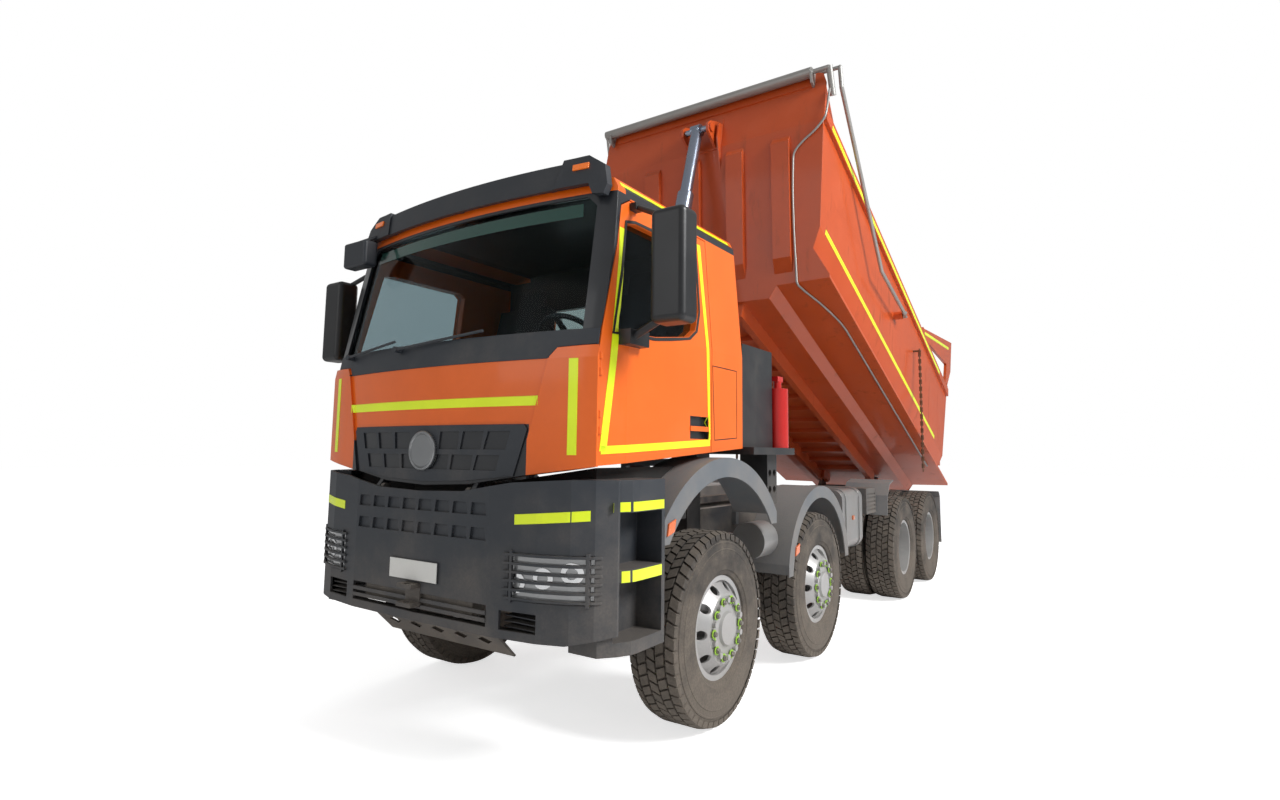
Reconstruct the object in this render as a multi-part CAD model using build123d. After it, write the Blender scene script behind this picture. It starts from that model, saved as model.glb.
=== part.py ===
"""Four-axle dump truck with its bed raised on a front telescopic hoist.

Millimetres. Forward is -Y, the truck's left is +X, up is +Z. Sizes along Y are first measured
from the first axle, and at the end everything moves by ORIGIN_SHIFT, so that the origin is under
the middle of the truck's bounding box. Each function builds one piece or one set of like pieces.
"""
import os
from math import atan2, cos, degrees, hypot, radians, sin, tan

from build123d import *

# ---------------------------------------------------------------- driving sizes
# running gear
AXLE_Y = (0.0, 1700.0, 4430.0, 5780.0)
TYRE_RADIUS = 570.0
TYRE_WIDTH = 316.0
TREAD_WIDTH = 264.0
BEAD_RADIUS = 286.0
BEAD_WIDTH = 216.0
RIM_WIDTH = 254.0
RIM_LIP_RADIUS = 306.0
RIM_WALL = 12.0
FRONT_WHEEL_X = 1050.0
TWIN_PITCH = 345.0
TWIN_OUTER_X = 1090.0
DISC_WALL = 12.0
BOLT_ZONE_RADIUS = 203.0
HUB_RADIUS = 118.0
HAND_HOLES = 10
HAND_HOLE_RADIUS = 27.0
HAND_HOLE_CIRCLE = 239.0
NUT_CIRCLE = 167.5
NUT_RADIUS = 17.0
NUT_HEIGHT = 24.0
DRUM_RADIUS = 205.0
DRUM_WALL = 15.0
SPINDLE_RADIUS = 45.0
BEARING_CLEARANCE = 0.05
SEAT_CLEARANCE = 0.3
KINGPIN_X = 820.0
KINGPIN_RADIUS = 22.0
EYE_RADIUS = 48.0
EYE_HEIGHT = 100.0
LUG_THICKNESS = 40.0
LUG_GAP = 2.0
STEER_ANGLE = 36.0

# chassis
FRAME_HALF = 420.0
RAIL_FLANGE = 80.0
RAIL_WALL = 9.0
RAIL_BOTTOM = 820.0
RAIL_TOP = 1100.0
FRAME_FRONT = -1120.0
FRAME_REAR = 6450.0
SUBFRAME_TOP = 1160.0
SUBFRAME_FRONT = 640.0
SUBFRAME_INNER = 345.0
SPRING_WIDTH = 80.0
SPRING_INNER = 437.0

# bed: a runs forward along its floor, h stands square to its floor
HINGE_Y = 6336.5
HINGE_Z = 1247.5
HINGE_A = 40.0
FLOOR_RISE = 72.0
BED_TILT = 21.3
BED_DOWN_GAP = 6.0
FLOOR_HALF = 684.0
COVE_HALF = 760.0
COVE_H = 95.0
KNEE_HALF = 1112.0
KNEE_H = 365.0
WAIST_HALF = 1180.0
WAIST_H = 540.0
RIM_HALF = 1240.0
RIM_H = 1530.0
BED_WALL = 8.0
LIP_HALF = 1255.0
LIP_H = 102.0
LIP_HEIGHT = 30.0
FRONT_FOOT_A = 4800.0
FOLD_A = 5395.0
FOLD_H = 1440.0
FRONT_TOP_A = 5475.0
BOARD_H = 1990.0
BOARD_HALF = 1240.0
BAND_DEPTH = 22.0
BAND_LOW = 1830.0
RIB_PITCH = 340.0
PRESSING_WIDTH = 175.0
PRESSING_DEPTH = 45.0
PRESSING_LOW = 190.0
PRESSING_HIGH = 1375.0
REAR_TOP_A = -320.0
REAR_FOOT_A = -610.0
RAIL_DEPTH = 100.0
RAIL_OUT = 26.0
HINGE_PIN_RADIUS = 30.0

# hoist
HOIST_STANDOFF = 160.0
HOIST_TOP_H = 1550.0
HOIST_BASE_Y = 700.0
HOIST_BASE_Z = 1180.0
HOIST_BARREL_RADIUS = 110.0
HOIST_STAGE_1_RADIUS = 95.0
HOIST_STAGE_2_RADIUS = 80.0
HOIST_ROD_RADIUS = 58.0
HOIST_CLOSED = 1700.0
HOIST_FOOT = 66.0
HOIST_HEAD = 110.0
HOIST_COLLAR = 4.0
HOIST_STEP = 20.0
HOIST_GAP = 0.3
HOIST_EYE_RADIUS = 58.0
HOIST_EYE_HALF = 50.0
HOIST_PIN_PLAY = 6.0
HOIST_PIN_RADIUS = 30.0
HOIST_EAR_X = 128.0
HOIST_EAR_WALL = 26.0

# cab
CAB_HALF = 1150.0
CAB_ROOF_HALF = 1085.0
CAB_WALL = 50.0
CAB_FRONT = -1285.0
CAB_BOW_HALF = 850.0
CAB_SAGITTA = 70.0
CAB_CORNER = 135.0
CAB_TAPER = 40.0
CAB_TAPER_LENGTH = 200.0
CAB_CORNER_BULGE = 8.0
CAB_REAR = 390.0
CAB_LOW = 1425.0
CAB_SIDE_LOW = 1548.0
CAB_REAR_LOW = 1650.0
CAB_BELT = 2260.0
CAB_EAVE = 3030.0
CAB_ROOF = 3130.0
NOSE_TOP = 2085.0
COWL_Z = 2240.0
COWL_LEAN = 30.0
SCREEN_LEAN = 215.0
SCREEN_HALF_LOW = 1015.0
SCREEN_HALF_TOP = 985.0
SCREEN_DROP = 45.0
COVER = 14.0
CAB_FLOOR_LOW = 1620.0
CAB_FLOOR_TOP = 1680.0
TILT_PIN_Y = -1270.0
TILT_PIN_Z = 1400.0
TILT_PIN_RADIUS = 14.0
TILT_EYE_RADIUS = 24.0
DOOR_WALL = 90.0
DOOR_FRONT = -1145.0
DOOR_REAR = -60.0
DOOR_TOP = 2975.0
DOOR_GAP = 6.0
DOOR_SETBACK = 28.0
DOOR_SKIN = 12.0
WINDOW_FRONT = 110.0
WINDOW_REAR = 127.0
WINDOW_LOW = 2228.0
WINDOW_DROP = 120.0
DOOR_HINGE_X = 1117.0
DOOR_HINGE_Y = -1136.0
HINGE_RADIUS = 8.0
GLASS = 6.0
GLASS_GAP = 0.5
DOOR_GLASS_DEPTH = 40.0
HINGE_HEIGHTS = (1760.0, 2050.0)
DOOR_GRIP_Z = 1760.0
VISOR_LOW = 15.0
VISOR_HALF = 980.0
VISOR_HEIGHT = 150.0
VISOR_DEPTH = 26.0
VISOR_STANDOFF = 16.0
RAMP_MIRROR_Y = -1190.0
BEACON_X = 700.0
BEACON_Y = -830.0

# bumper and steps
BUMPER_FRONT = -1325.0
BUMPER_FLAT = 560.0
BUMPER_BOW = 10.0
BUMPER_BACK = -1045.0
BUMPER_LOW = 700.0
BUMPER_TOP = 1395.0
BUMPER_CORNER_TOP = 1480.0
BUMPER_HALF = 1190.0
BUMPER_WALL = 15.0
PLATE_Z = 967.0
PLATE_HALF = 200.0
PLATE_HEIGHT = 110.0
SKID_LOW = 535.0
STEP_FRONT = -1124.0
STEP_INNER = 940.0
STEP_OUTER = 1220.0
STEP_REAR = -690.0
STEP_TOP = 1480.0
STEP_LOW = 640.0

# tailgate and cover arms
GATE_PIVOT_A = 1330.0
GATE_PIVOT_H = 1605.0
GATE_ARM_X = 1180.0
GATE_ARM_WALL = 40.0
GATE_TIP_A = -660.0
GATE_TIP_TOP = 2540.0
GATE_TIP_LOW = 2020.0
GATE_WALL = 8.0
GATE_LOW = -30.0
GATE_TOP = 1640.0
ARM_PIVOT_A = 2640.0
ARM_PIVOT_H = 1052.0
ARM_X = 1335.0
ARM_RADIUS = 20.0
ARM_BEND_A = 3664.0
ARM_BEND_H = 961.0
ARM_HEAD_A = 5330.0
ARM_HEAD_H = 1870.0
ARM_BAR_A = 5430.0
ARM_BAR_CLEAR = 12.0
ARM_PIN_RADIUS = 15.0
ROLL_H = 1925.0
DRIVE_LOW_H = 1751.0
ROLL_RADIUS = 48.0
ROLL_CLEAR = 6.0
CHAIN_X = 1290.0
CHAIN_STUD = 1214.5
CHAIN_A = 1685.0
CHAIN_H = 1100.0
CHAIN_LENGTH = 1570.0
CHAIN_PITCH = 44.0
LINK_LENGTH = 58.0
LINK_WIDTH = 34.0
LINK_WALL = 10.0
CABLE_RADIUS = 10.0
CABLE_X = 1140.0
CABLE_END_A = 250.0

# towing couplings
JAW_REACH = 60.0
JAW_BORE = 20.0
JAW_Z = 840.0
JAW_WALL = 22.0
JAW_MOUTH = 60.0
REAR_JAW_Z = 970.0


# ---------------------------------------------------------------- helpers
def block(x0, x1, y0, y1, z0, z1):
    """A box between three pairs of planes."""
    low = (min(x0, x1), min(y0, y1), min(z0, z1))
    size = (abs(x1 - x0), abs(y1 - y0), abs(z1 - z0))
    return Pos(*low) * Box(*size, align=(Align.MIN, Align.MIN, Align.MIN))


def prism_x(points_yz, x0, x1):
    """A polygon in the YZ plane pushed along X."""
    face = Plane.YZ.offset(min(x0, x1)) * Polygon(*points_yz)
    return extrude(face, amount=abs(x1 - x0), dir=(1, 0, 0))


def prism_y(points_xz, y0, y1):
    """A polygon in the XZ plane pushed along Y."""
    face = Plane.XZ.offset(-min(y0, y1)) * Polygon(*points_xz)
    return extrude(face, amount=abs(y1 - y0), dir=(0, 1, 0))


def prism_z(points_xy, z0, z1):
    """A polygon in the XY plane pushed along Z."""
    face = Plane.XY.offset(min(z0, z1)) * Polygon(*points_xy)
    return extrude(face, amount=abs(z1 - z0), dir=(0, 0, 1))


def rod_x(x0, x1, y, z, radius):
    """A round bar along X."""
    bar = Cylinder(radius, abs(x1 - x0))
    return Pos((x0 + x1) / 2, y, z) * Rot(0, 90, 0) * bar


def rod_y(y0, y1, x, z, radius):
    """A round bar along Y."""
    bar = Cylinder(radius, abs(y1 - y0))
    return Pos(x, (y0 + y1) / 2, z) * Rot(90, 0, 0) * bar


def rod_z(z0, z1, x, y, radius):
    """A round bar along Z."""
    return Pos(x, y, (z0 + z1) / 2) * Cylinder(radius, abs(z1 - z0))


def rod_between(start, end, radius):
    """A round bar between two points."""
    path = Vector(*end) - Vector(*start)
    plane = Plane(origin=Vector(*start), z_dir=path)
    return extrude(plane * Circle(radius), amount=path.length)


def mirrored(shape):
    """The shape's mirror image across the truck."""
    return group(*[solid.mirror(Plane.YZ) for solid in shape.solids()])


def both_sides(shape):
    """The shape and its mirror image across the truck."""
    return group(shape, mirrored(shape))


def joined(shapes):
    """One solid from shapes that meet."""
    shapes = list(shapes)
    return shapes[0].fuse(*shapes[1:]) if len(shapes) > 1 else shapes[0]


def group(*shapes):
    """Separate solids that share one node."""
    solids = []
    for shape in shapes:
        solids.extend(shape.solids())
    return Compound(children=solids)


def spun(points, x, outward):
    """A profile of (along the axle, radius) points spun about the axle line through x."""
    face = Plane.XY * Polygon(*[(along, radius) for along, radius in points])
    ring = revolve(face, axis=Axis.X)
    if outward < 0:
        ring = ring.mirror(Plane.YZ)
    return Pos(x, 0, 0) * ring


def bed_place(a, h):
    """Y and Z, bed down, of a point given along and square to the bed floor."""
    return (HINGE_Y + HINGE_A - a, HINGE_Z + FLOOR_RISE + h)


def rest_place(a, h):
    """Y and Z, at the bed's rest angle, of a point given along and square to its floor."""
    tilt = radians(BED_TILT)
    along = a - HINGE_A
    above = h + FLOOR_RISE
    return (HINGE_Y - along * cos(tilt) + above * sin(tilt),
            HINGE_Z + along * sin(tilt) + above * cos(tilt))


def raised(shape):
    """A shape built with the bed down, tipped to the bed's rest angle."""
    hinge = Axis((0, HINGE_Y, HINGE_Z), (1, 0, 0))
    return group(*[solid.rotate(hinge, -BED_TILT) for solid in shape.solids()])


def drawn_in(points, wall):
    """Corners of a polygon whose sides have all moved inwards by a wall."""
    ends = list(zip(points, points[1:] + points[:1]))
    area = sum(x0 * y1 - x1 * y0 for (x0, y0), (x1, y1) in ends)
    shift = wall if area > 0 else -wall
    sides = []
    for (x0, y0), (x1, y1) in ends:
        run = hypot(x1 - x0, y1 - y0)
        sides.append((x0 - (y1 - y0) / run * shift, y0 + (x1 - x0) / run * shift, x1 - x0, y1 - y0))
    corners = []
    for (px, py, ux, uy), (qx, qy, vx, vy) in zip(sides[-1:] + sides[:-1], sides):
        reach = ((qx - px) * vy - (qy - py) * vx) / (ux * vy - uy * vx)
        corners.append((px + ux * reach, py + uy * reach))
    return corners


def bed_plate(points_ah, x0, x1):
    """A polygon of bed points pushed along X, bed down."""
    return prism_x([bed_place(a, h) for a, h in points_ah], x0, x1)


# ---------------------------------------------------------------- wheels
def tyre(plane_x):
    """One tyre, flat across its tread, bulged at its sidewalls and open at its bead."""
    half_tread = TREAD_WIDTH / 2
    half_width = TYRE_WIDTH / 2
    half_bead = BEAD_WIDTH / 2
    bead = BEAD_RADIUS + SEAT_CLEARANCE
    shoulder = TYRE_RADIUS - 26
    half = ((half_tread - 14, TYRE_RADIUS), (half_tread, TYRE_RADIUS - 8),
            (half_width - 10, shoulder - 24), (half_width, 425), (half_width - 8, 360),
            (half_bead, RIM_LIP_RADIUS + 6), (half_bead, bead))
    outline = [(-along, radius) for along, radius in reversed(half)] + list(half)
    return spun(outline, plane_x, 1)


def rim(plane_x, outward, mount):
    """A steel rim with its coned disc, hand holes cut, its bolting face at mount."""
    half = RIM_WIDTH / 2
    inner = BEAD_RADIUS - RIM_WALL
    band = [(-half, RIM_LIP_RADIUS), (-half, inner), (half, inner), (half, RIM_LIP_RADIUS),
            (half - RIM_WALL, RIM_LIP_RADIUS), (half - RIM_WALL, BEAD_RADIUS),
            (RIM_WALL - half, BEAD_RADIUS), (RIM_WALL - half, RIM_LIP_RADIUS)]
    root = mount - (inner - BOLT_ZONE_RADIUS)
    disc = [(root, inner + 1), (mount, BOLT_ZONE_RADIUS), (mount, HUB_RADIUS),
            (mount - DISC_WALL, HUB_RADIUS), (mount - DISC_WALL, BOLT_ZONE_RADIUS - 5),
            (root - 17, inner + 1)]
    wheel = spun(band, 0, 1) + spun(disc, 0, 1)
    middle = mount - (HAND_HOLE_CIRCLE - BOLT_ZONE_RADIUS)
    for index in range(HAND_HOLES):
        turn = radians(index * 360 / HAND_HOLES)
        hole = rod_x(middle - 50, middle + 50, HAND_HOLE_CIRCLE * cos(turn),
                     HAND_HOLE_CIRCLE * sin(turn), HAND_HOLE_RADIUS)
        wheel -= hole
    if outward < 0:
        wheel = wheel.mirror(Plane.YZ)
    return Pos(plane_x, 0, 0) * wheel


def nuts(x0, x1):
    """A circle of wheel nuts."""
    found = []
    for index in range(HAND_HOLES):
        turn = radians((index + 0.5) * 360 / HAND_HOLES)
        found.append(rod_x(x0, x1, NUT_CIRCLE * cos(turn), NUT_CIRCLE * sin(turn), NUT_RADIUS))
    return found


def wheel_mount():
    """How far the discs' bolting faces stand from the rims' middle planes."""
    return TWIN_PITCH / 2


def single_rim():
    """A front wheel: rim, hub, cap, nuts and brake drum, turning on the knuckle's spindle."""
    mount = wheel_mount()
    bore = SPINDLE_RADIUS + BEARING_CLEARANCE
    hub = [(-22, bore), (-22, DRUM_RADIUS), (-12, DRUM_RADIUS), (-12, 80),
           (mount - DISC_WALL - 14, 80), (mount - DISC_WALL - 14, BOLT_ZONE_RADIUS - 8),
           (mount - DISC_WALL, BOLT_ZONE_RADIUS - 8), (mount - DISC_WALL, HUB_RADIUS),
           (mount, HUB_RADIUS), (mount + 4, 100), (mount + 22, 92), (mount + 22, 0),
           (mount - 20, 0), (mount - 20, bore)]
    drum = [(-150, DRUM_RADIUS), (-150, DRUM_RADIUS - DRUM_WALL),
            (-21, DRUM_RADIUS - DRUM_WALL), (-21, DRUM_RADIUS)]
    pieces = [rim(0, 1, mount), spun(hub, 0, 1), spun(drum, 0, 1)]
    return joined(pieces + nuts(mount - 1, mount + NUT_HEIGHT))


def twin_rims():
    """A rear pair: two rims back to back on one hub with its drum, seen from its outer plane."""
    mount = wheel_mount()
    bore = SPINDLE_RADIUS + BEARING_CLEARANCE
    inner_plane = -TWIN_PITCH
    face = -mount
    hub = [(inner_plane - 60, bore), (inner_plane - 60, DRUM_RADIUS),
           (inner_plane - 50, DRUM_RADIUS), (inner_plane - 50, 90), (face - DISC_WALL, 90),
           (face - DISC_WALL, HUB_RADIUS), (face + DISC_WALL, HUB_RADIUS), (face + 90, 105),
           (face + 200, 100), (face + 215, 88), (face + 215, 0), (face + 90, 0),
           (face + 90, bore)]
    drum = [(inner_plane - 59, DRUM_RADIUS), (inner_plane - 59, DRUM_RADIUS - DRUM_WALL),
            (inner_plane - 128, DRUM_RADIUS - DRUM_WALL), (inner_plane - 128, DRUM_RADIUS)]
    pieces = [rim(0, -1, mount), rim(inner_plane, 1, mount), spun(hub, 0, 1), spun(drum, 0, 1)]
    return joined(pieces + nuts(face + DISC_WALL - 1, face + DISC_WALL + NUT_HEIGHT))


def placed_wheel(shape, side, plane_x, axle):
    """A left-hand wheel part moved to its axle, mirrored for the right side."""
    place = Pos(plane_x, AXLE_Y[axle], TYRE_RADIUS)
    moved = group(*[place * solid for solid in shape.solids()])
    return moved if side > 0 else mirrored(moved)


def knuckle():
    """A left knuckle at the first axle's height: kingpin, two lugs, back plate and spindle."""
    lug_out = KINGPIN_X + EYE_RADIUS + 7
    plate_out = lug_out + 22
    top = EYE_HEIGHT / 2 + LUG_GAP
    pieces = [block(lug_out, plate_out, -70, 70, -top - LUG_THICKNESS, top + LUG_THICKNESS)]
    for side in (-1, 1):
        z0 = side * top
        z1 = side * (top + LUG_THICKNESS)
        pieces.append(rod_z(z0, z1, KINGPIN_X, 0, EYE_RADIUS - 2))
        pieces.append(block(KINGPIN_X, lug_out + 1, 2 - EYE_RADIUS, EYE_RADIUS - 2, z0, z1))
    pieces.append(rod_z(-top, top, KINGPIN_X, 0, KINGPIN_RADIUS))
    stub_end = FRONT_WHEEL_X - 30
    pieces.append(rod_x(plate_out, stub_end, 0, 0, 66))
    pieces.append(rod_x(plate_out, FRONT_WHEEL_X + wheel_mount() - 26, 0, 0, SPINDLE_RADIUS))
    return joined(pieces)


# ---------------------------------------------------------------- chassis
def chassis_frame():
    """Two channel rails and their crossmembers, welded into one frame."""
    inner = FRAME_HALF - RAIL_FLANGE
    channel = [(FRAME_HALF, RAIL_BOTTOM), (FRAME_HALF, RAIL_TOP), (inner, RAIL_TOP),
               (inner, RAIL_TOP - RAIL_WALL), (FRAME_HALF - RAIL_WALL, RAIL_TOP - RAIL_WALL),
               (FRAME_HALF - RAIL_WALL, RAIL_BOTTOM + RAIL_WALL),
               (inner, RAIL_BOTTOM + RAIL_WALL), (inner, RAIL_BOTTOM)]
    rail = prism_y(channel, FRAME_FRONT, FRAME_REAR)
    pieces = [rail, rail.mirror(Plane.YZ)]
    web = FRAME_HALF - RAIL_WALL
    for y in (-900.0, 1420.0, 2120.0, 3000.0, 3900.0, 5105.0, FRAME_REAR - 50):
        pieces.append(block(-web, web, y - 45, y + 45, RAIL_BOTTOM + 60, RAIL_TOP - 60))
    return joined(pieces + tilt_brackets())


def tilt_brackets():
    """Two chassis arms that reach forward to the cab's tilt pins."""
    pieces = []
    foot_low = RAIL_TOP - 120
    for side in (-1, 1):
        x0 = side * (FRAME_HALF - 70)
        x1 = side * (FRAME_HALF - 40)
        arm = [(FRAME_FRONT + 1, foot_low), (FRAME_FRONT + 1, RAIL_TOP), (FRAME_FRONT - 45, RAIL_TOP + 60),
               (TILT_PIN_Y + TILT_EYE_RADIUS, TILT_PIN_Z), (TILT_PIN_Y - TILT_EYE_RADIUS, TILT_PIN_Z),
               (TILT_PIN_Y + 5, TILT_PIN_Z - 80), (FRAME_FRONT - 60, foot_low)]
        plate = prism_x(arm, x0, x1) + rod_x(x0, x1, TILT_PIN_Y, TILT_PIN_Z, TILT_EYE_RADIUS)
        pin = rod_x(side * (FRAME_HALF - 71), side * (FRAME_HALF + 15), TILT_PIN_Y, TILT_PIN_Z,
                    TILT_PIN_RADIUS)
        foot = block(side * (FRAME_HALF - 80), side * FRAME_HALF, FRAME_FRONT - 20, FRAME_FRONT + 1,
                     foot_low, RAIL_TOP)
        pieces += [plate, pin, foot]
    return pieces


def bed_subframe():
    """Bearers on the frame, the bed's hinge brackets and the hoist's trunnion block."""
    outer = FRAME_HALF
    pieces = []
    bore = HINGE_PIN_RADIUS + BEARING_CLEARANCE
    for side in (-1, 1):
        x0 = side * SUBFRAME_INNER
        x1 = side * outer
        bearer = block(x0, x1, SUBFRAME_FRONT, FRAME_REAR, RAIL_TOP, SUBFRAME_TOP)
        ear = [(HINGE_Y - 150, SUBFRAME_TOP - 1), (HINGE_Y + 60, SUBFRAME_TOP - 1),
               (HINGE_Y + 50, HINGE_Z), (HINGE_Y - 50, HINGE_Z)]
        bracket = prism_x(ear, side * (SUBFRAME_INNER + 20), x1)
        bracket += rod_x(side * (SUBFRAME_INNER + 20), x1, HINGE_Y, HINGE_Z, 50)
        bracket -= rod_x(side * 300, side * 500, HINGE_Y, HINGE_Z, bore)
        pieces += [bearer, bracket]
    y0 = HOIST_BASE_Y - 90
    y1 = HOIST_BASE_Y + 90
    plate_top = RAIL_TOP + 14
    pieces.append(block(-SUBFRAME_INNER, SUBFRAME_INNER, y0, y1, RAIL_TOP, plate_top))
    for side in (-1, 1):
        ear = [(y0, plate_top - 1), (y1, plate_top - 1), (HOIST_BASE_Y + 45, HOIST_BASE_Z + 45),
               (HOIST_BASE_Y - 45, HOIST_BASE_Z + 45)]
        plate = prism_x(ear, side * 128, side * 158)
        plate -= rod_x(side * 100, side * 200, HOIST_BASE_Y, HOIST_BASE_Z,
                       HOIST_PIN_RADIUS + BEARING_CLEARANCE)
        pieces.append(plate)
    pieces.append(block(-SUBFRAME_INNER, SUBFRAME_INNER, FRAME_REAR - 100, FRAME_REAR,
                        RAIL_TOP, SUBFRAME_TOP))
    return joined(pieces)


def engine_block():
    """The engine as one plain block at its real place, and the radiator ahead of it."""
    radiator = block(-330, 330, -1090, -980, 860, 1460)
    stay = block(-330, 330, -981, -945, 900, 960)
    engine = block(-330, 330, -700, 480, 640, 1400)
    mounts = block(-FRAME_HALF + RAIL_WALL, FRAME_HALF - RAIL_WALL, -300, -200, 900, 980)
    return group(joined([radiator, stay]), joined([engine, mounts]))


def driveline():
    """Gearbox, prop shafts and their joints, down to the first driven axle."""
    gearbox = block(-210, 210, 480, 1240, 640, 1040)
    middle = (0, 2900, 775)
    last = (0, AXLE_Y[2] - 385, TYRE_RADIUS + 40)
    shafts = [rod_between((0, 1235, 780), middle, 60), rod_between(middle, last, 60),
              Pos(*middle) * Sphere(95), Pos(*last) * Sphere(72),
              rod_y(AXLE_Y[2] - 380, AXLE_Y[2] - 300, 0, TYRE_RADIUS + 40, 65)]
    first = joined([gearbox] + shafts)
    gap = AXLE_Y[3] - AXLE_Y[2]
    between = rod_y(AXLE_Y[2] + 250, AXLE_Y[2] + gap - 300, 0, TYRE_RADIUS + 40, 50)
    return group(first, between)


def front_axles():
    """Two dropped steering beams with an eye for each kingpin."""
    half = EYE_HEIGHT / 2
    low = TYRE_RADIUS - 140
    top = TYRE_RADIUS - 60
    z0 = TYRE_RADIUS - half
    z1 = TYRE_RADIUS + half
    eye = KINGPIN_X
    outline = [(-eye, z1), (-eye, z0), (-eye + 60, z0), (-FRAME_HALF - 120, low),
               (FRAME_HALF + 120, low), (eye - 60, z0), (eye, z0), (eye, z1), (eye - 50, z1),
               (FRAME_HALF + 150, top), (-FRAME_HALF - 150, top), (-eye + 50, z1)]
    beam = prism_y(outline, -42, 42)
    for side in (-1, 1):
        beam = beam + rod_z(z0, z1, side * eye, 0, EYE_RADIUS)
    for side in (-1, 1):
        bore = KINGPIN_RADIUS + BEARING_CLEARANCE
        beam = beam - rod_z(z0 - 1, z1 + 1, side * eye, 0, bore)
        seat = block(side * SPRING_INNER, side * (SPRING_INNER + SPRING_WIDTH), -70, 70,
                     top - 30, top)
        beam = beam + seat
    return group(*[Pos(0, AXLE_Y[index], 0) * beam for index in (0, 1)])


def rear_axles():
    """Two driven axle housings with their spindles and pinion noses."""
    pieces = []
    for index in (2, 3):
        y = AXLE_Y[index]
        z = TYRE_RADIUS
        parts = [rod_x(-560, 560, y, z, 88), rod_x(-200, 200, y, z, 215),
                 rod_x(-290, 290, y, z, 150),
                 rod_y(y - 300, y - 1, 0, z + 40, 90)]
        if index == 2:
            parts.append(rod_y(y + 1, y + 250, 0, z + 40, 80))
        end = TWIN_OUTER_X - wheel_mount() + 80
        for side in (-1, 1):
            parts.append(rod_x(side * 559, side * end, y, z, SPINDLE_RADIUS))
            parts.append(block(side * SPRING_INNER, side * (SPRING_INNER + SPRING_WIDTH),
                               y - 85, y + 85, z + 20, z + 92))
        pieces.append(joined(parts))
    return group(*pieces)


def springs():
    """Front leaf packs, rear packs across the bogie, their hangers and the bogie's trunnion."""
    x0 = SPRING_INNER
    x1 = SPRING_INNER + SPRING_WIDTH
    seat = TYRE_RADIUS - 60
    pieces = []
    for y in AXLE_Y[:2]:
        leaf = [(y - 690, 700), (y - 120, seat), (y + 120, seat), (y + 690, 700), (y + 690, 740),
                (y + 500, 700), (y + 120, seat + 75), (y - 120, seat + 75), (y - 500, 700),
                (y - 690, 740)]
        for side in (-1, 1):
            pieces.append(prism_x(leaf, side * x0, side * x1))
    mid = (AXLE_Y[2] + AXLE_Y[3]) / 2
    pad = TYRE_RADIUS + 92
    front = AXLE_Y[2] - 80
    rear = AXLE_Y[3] + 80
    leaf = [(front, pad), (AXLE_Y[2] + 80, pad), (mid - 100, pad + 38), (mid + 100, pad + 38),
            (AXLE_Y[3] - 80, pad), (rear, pad), (rear, pad + 36), (mid + 140, pad + 128),
            (mid - 140, pad + 128), (front, pad + 36)]
    for side in (-1, 1):
        pieces.append(prism_x(leaf, side * x0, side * x1))
    return group(*pieces, *spring_brackets())


def spring_brackets():
    """Hangers of the front springs and the bogie's trunnion."""
    pieces = []
    x0 = FRAME_HALF
    x1 = SPRING_INNER + SPRING_WIDTH
    for y in AXLE_Y[:2]:
        for end in (-1, 1):
            face = y + end * 690
            for side in (-1, 1):
                pieces.append(block(side * x0, side * x1, face, face + end * 60, 690, 960))
    mid = (AXLE_Y[2] + AXLE_Y[3]) / 2
    low = TYRE_RADIUS - 75
    parts = [rod_x(-x1 - 20, x1 + 20, mid, low, 45)]
    for side in (-1, 1):
        parts.append(block(side * (FRAME_HALF - 80), side * (FRAME_HALF - 10), mid - 110,
                           mid + 110, low, RAIL_BOTTOM))
        parts.append(block(side * SPRING_INNER, side * x1, mid - 95, mid + 95, low,
                           TYRE_RADIUS + 130))
    pieces.append(joined(parts))
    return pieces


# ---------------------------------------------------------------- front end
def bumper_band(near, far):
    """The bumper's plan outline between two depths behind its front face."""
    # half outline: x from the middle, y behind the front face
    half = ((0, 0), (BUMPER_FLAT, BUMPER_BOW), (860, 50), (1020, 105), (1120, 170), (BUMPER_HALF, 260))
    front = [(x, BUMPER_FRONT + y + near) for x, y in half]
    back = [(x, BUMPER_FRONT + y + far) for x, y in reversed(half)]
    right = [(-x, y) for x, y in reversed(front[1:])]
    back_right = [(-x, y) for x, y in reversed(back[:-1])]
    return right + front + back + back_right


def bumper_outline():
    """The bumper as seen from the front, its top climbing towards the corners."""
    half = [(350, BUMPER_TOP + 10), (690, BUMPER_CORNER_TOP - 20), (1000, BUMPER_CORNER_TOP),
            (1300, BUMPER_CORNER_TOP), (1300, BUMPER_LOW + 60), (1000, BUMPER_LOW), (700, BUMPER_LOW)]
    return [(0, BUMPER_TOP)] + half + [(-x, z) for x, z in reversed(half)]


# how far a bay's edges stand from the middle, its low and high edge
LAMP_BAY = (690, 1120, 890, 1120)
FOG_BAY = (640, 860, 742, 835)
LOW_SLOT = (0, 560, 745, 850)


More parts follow.
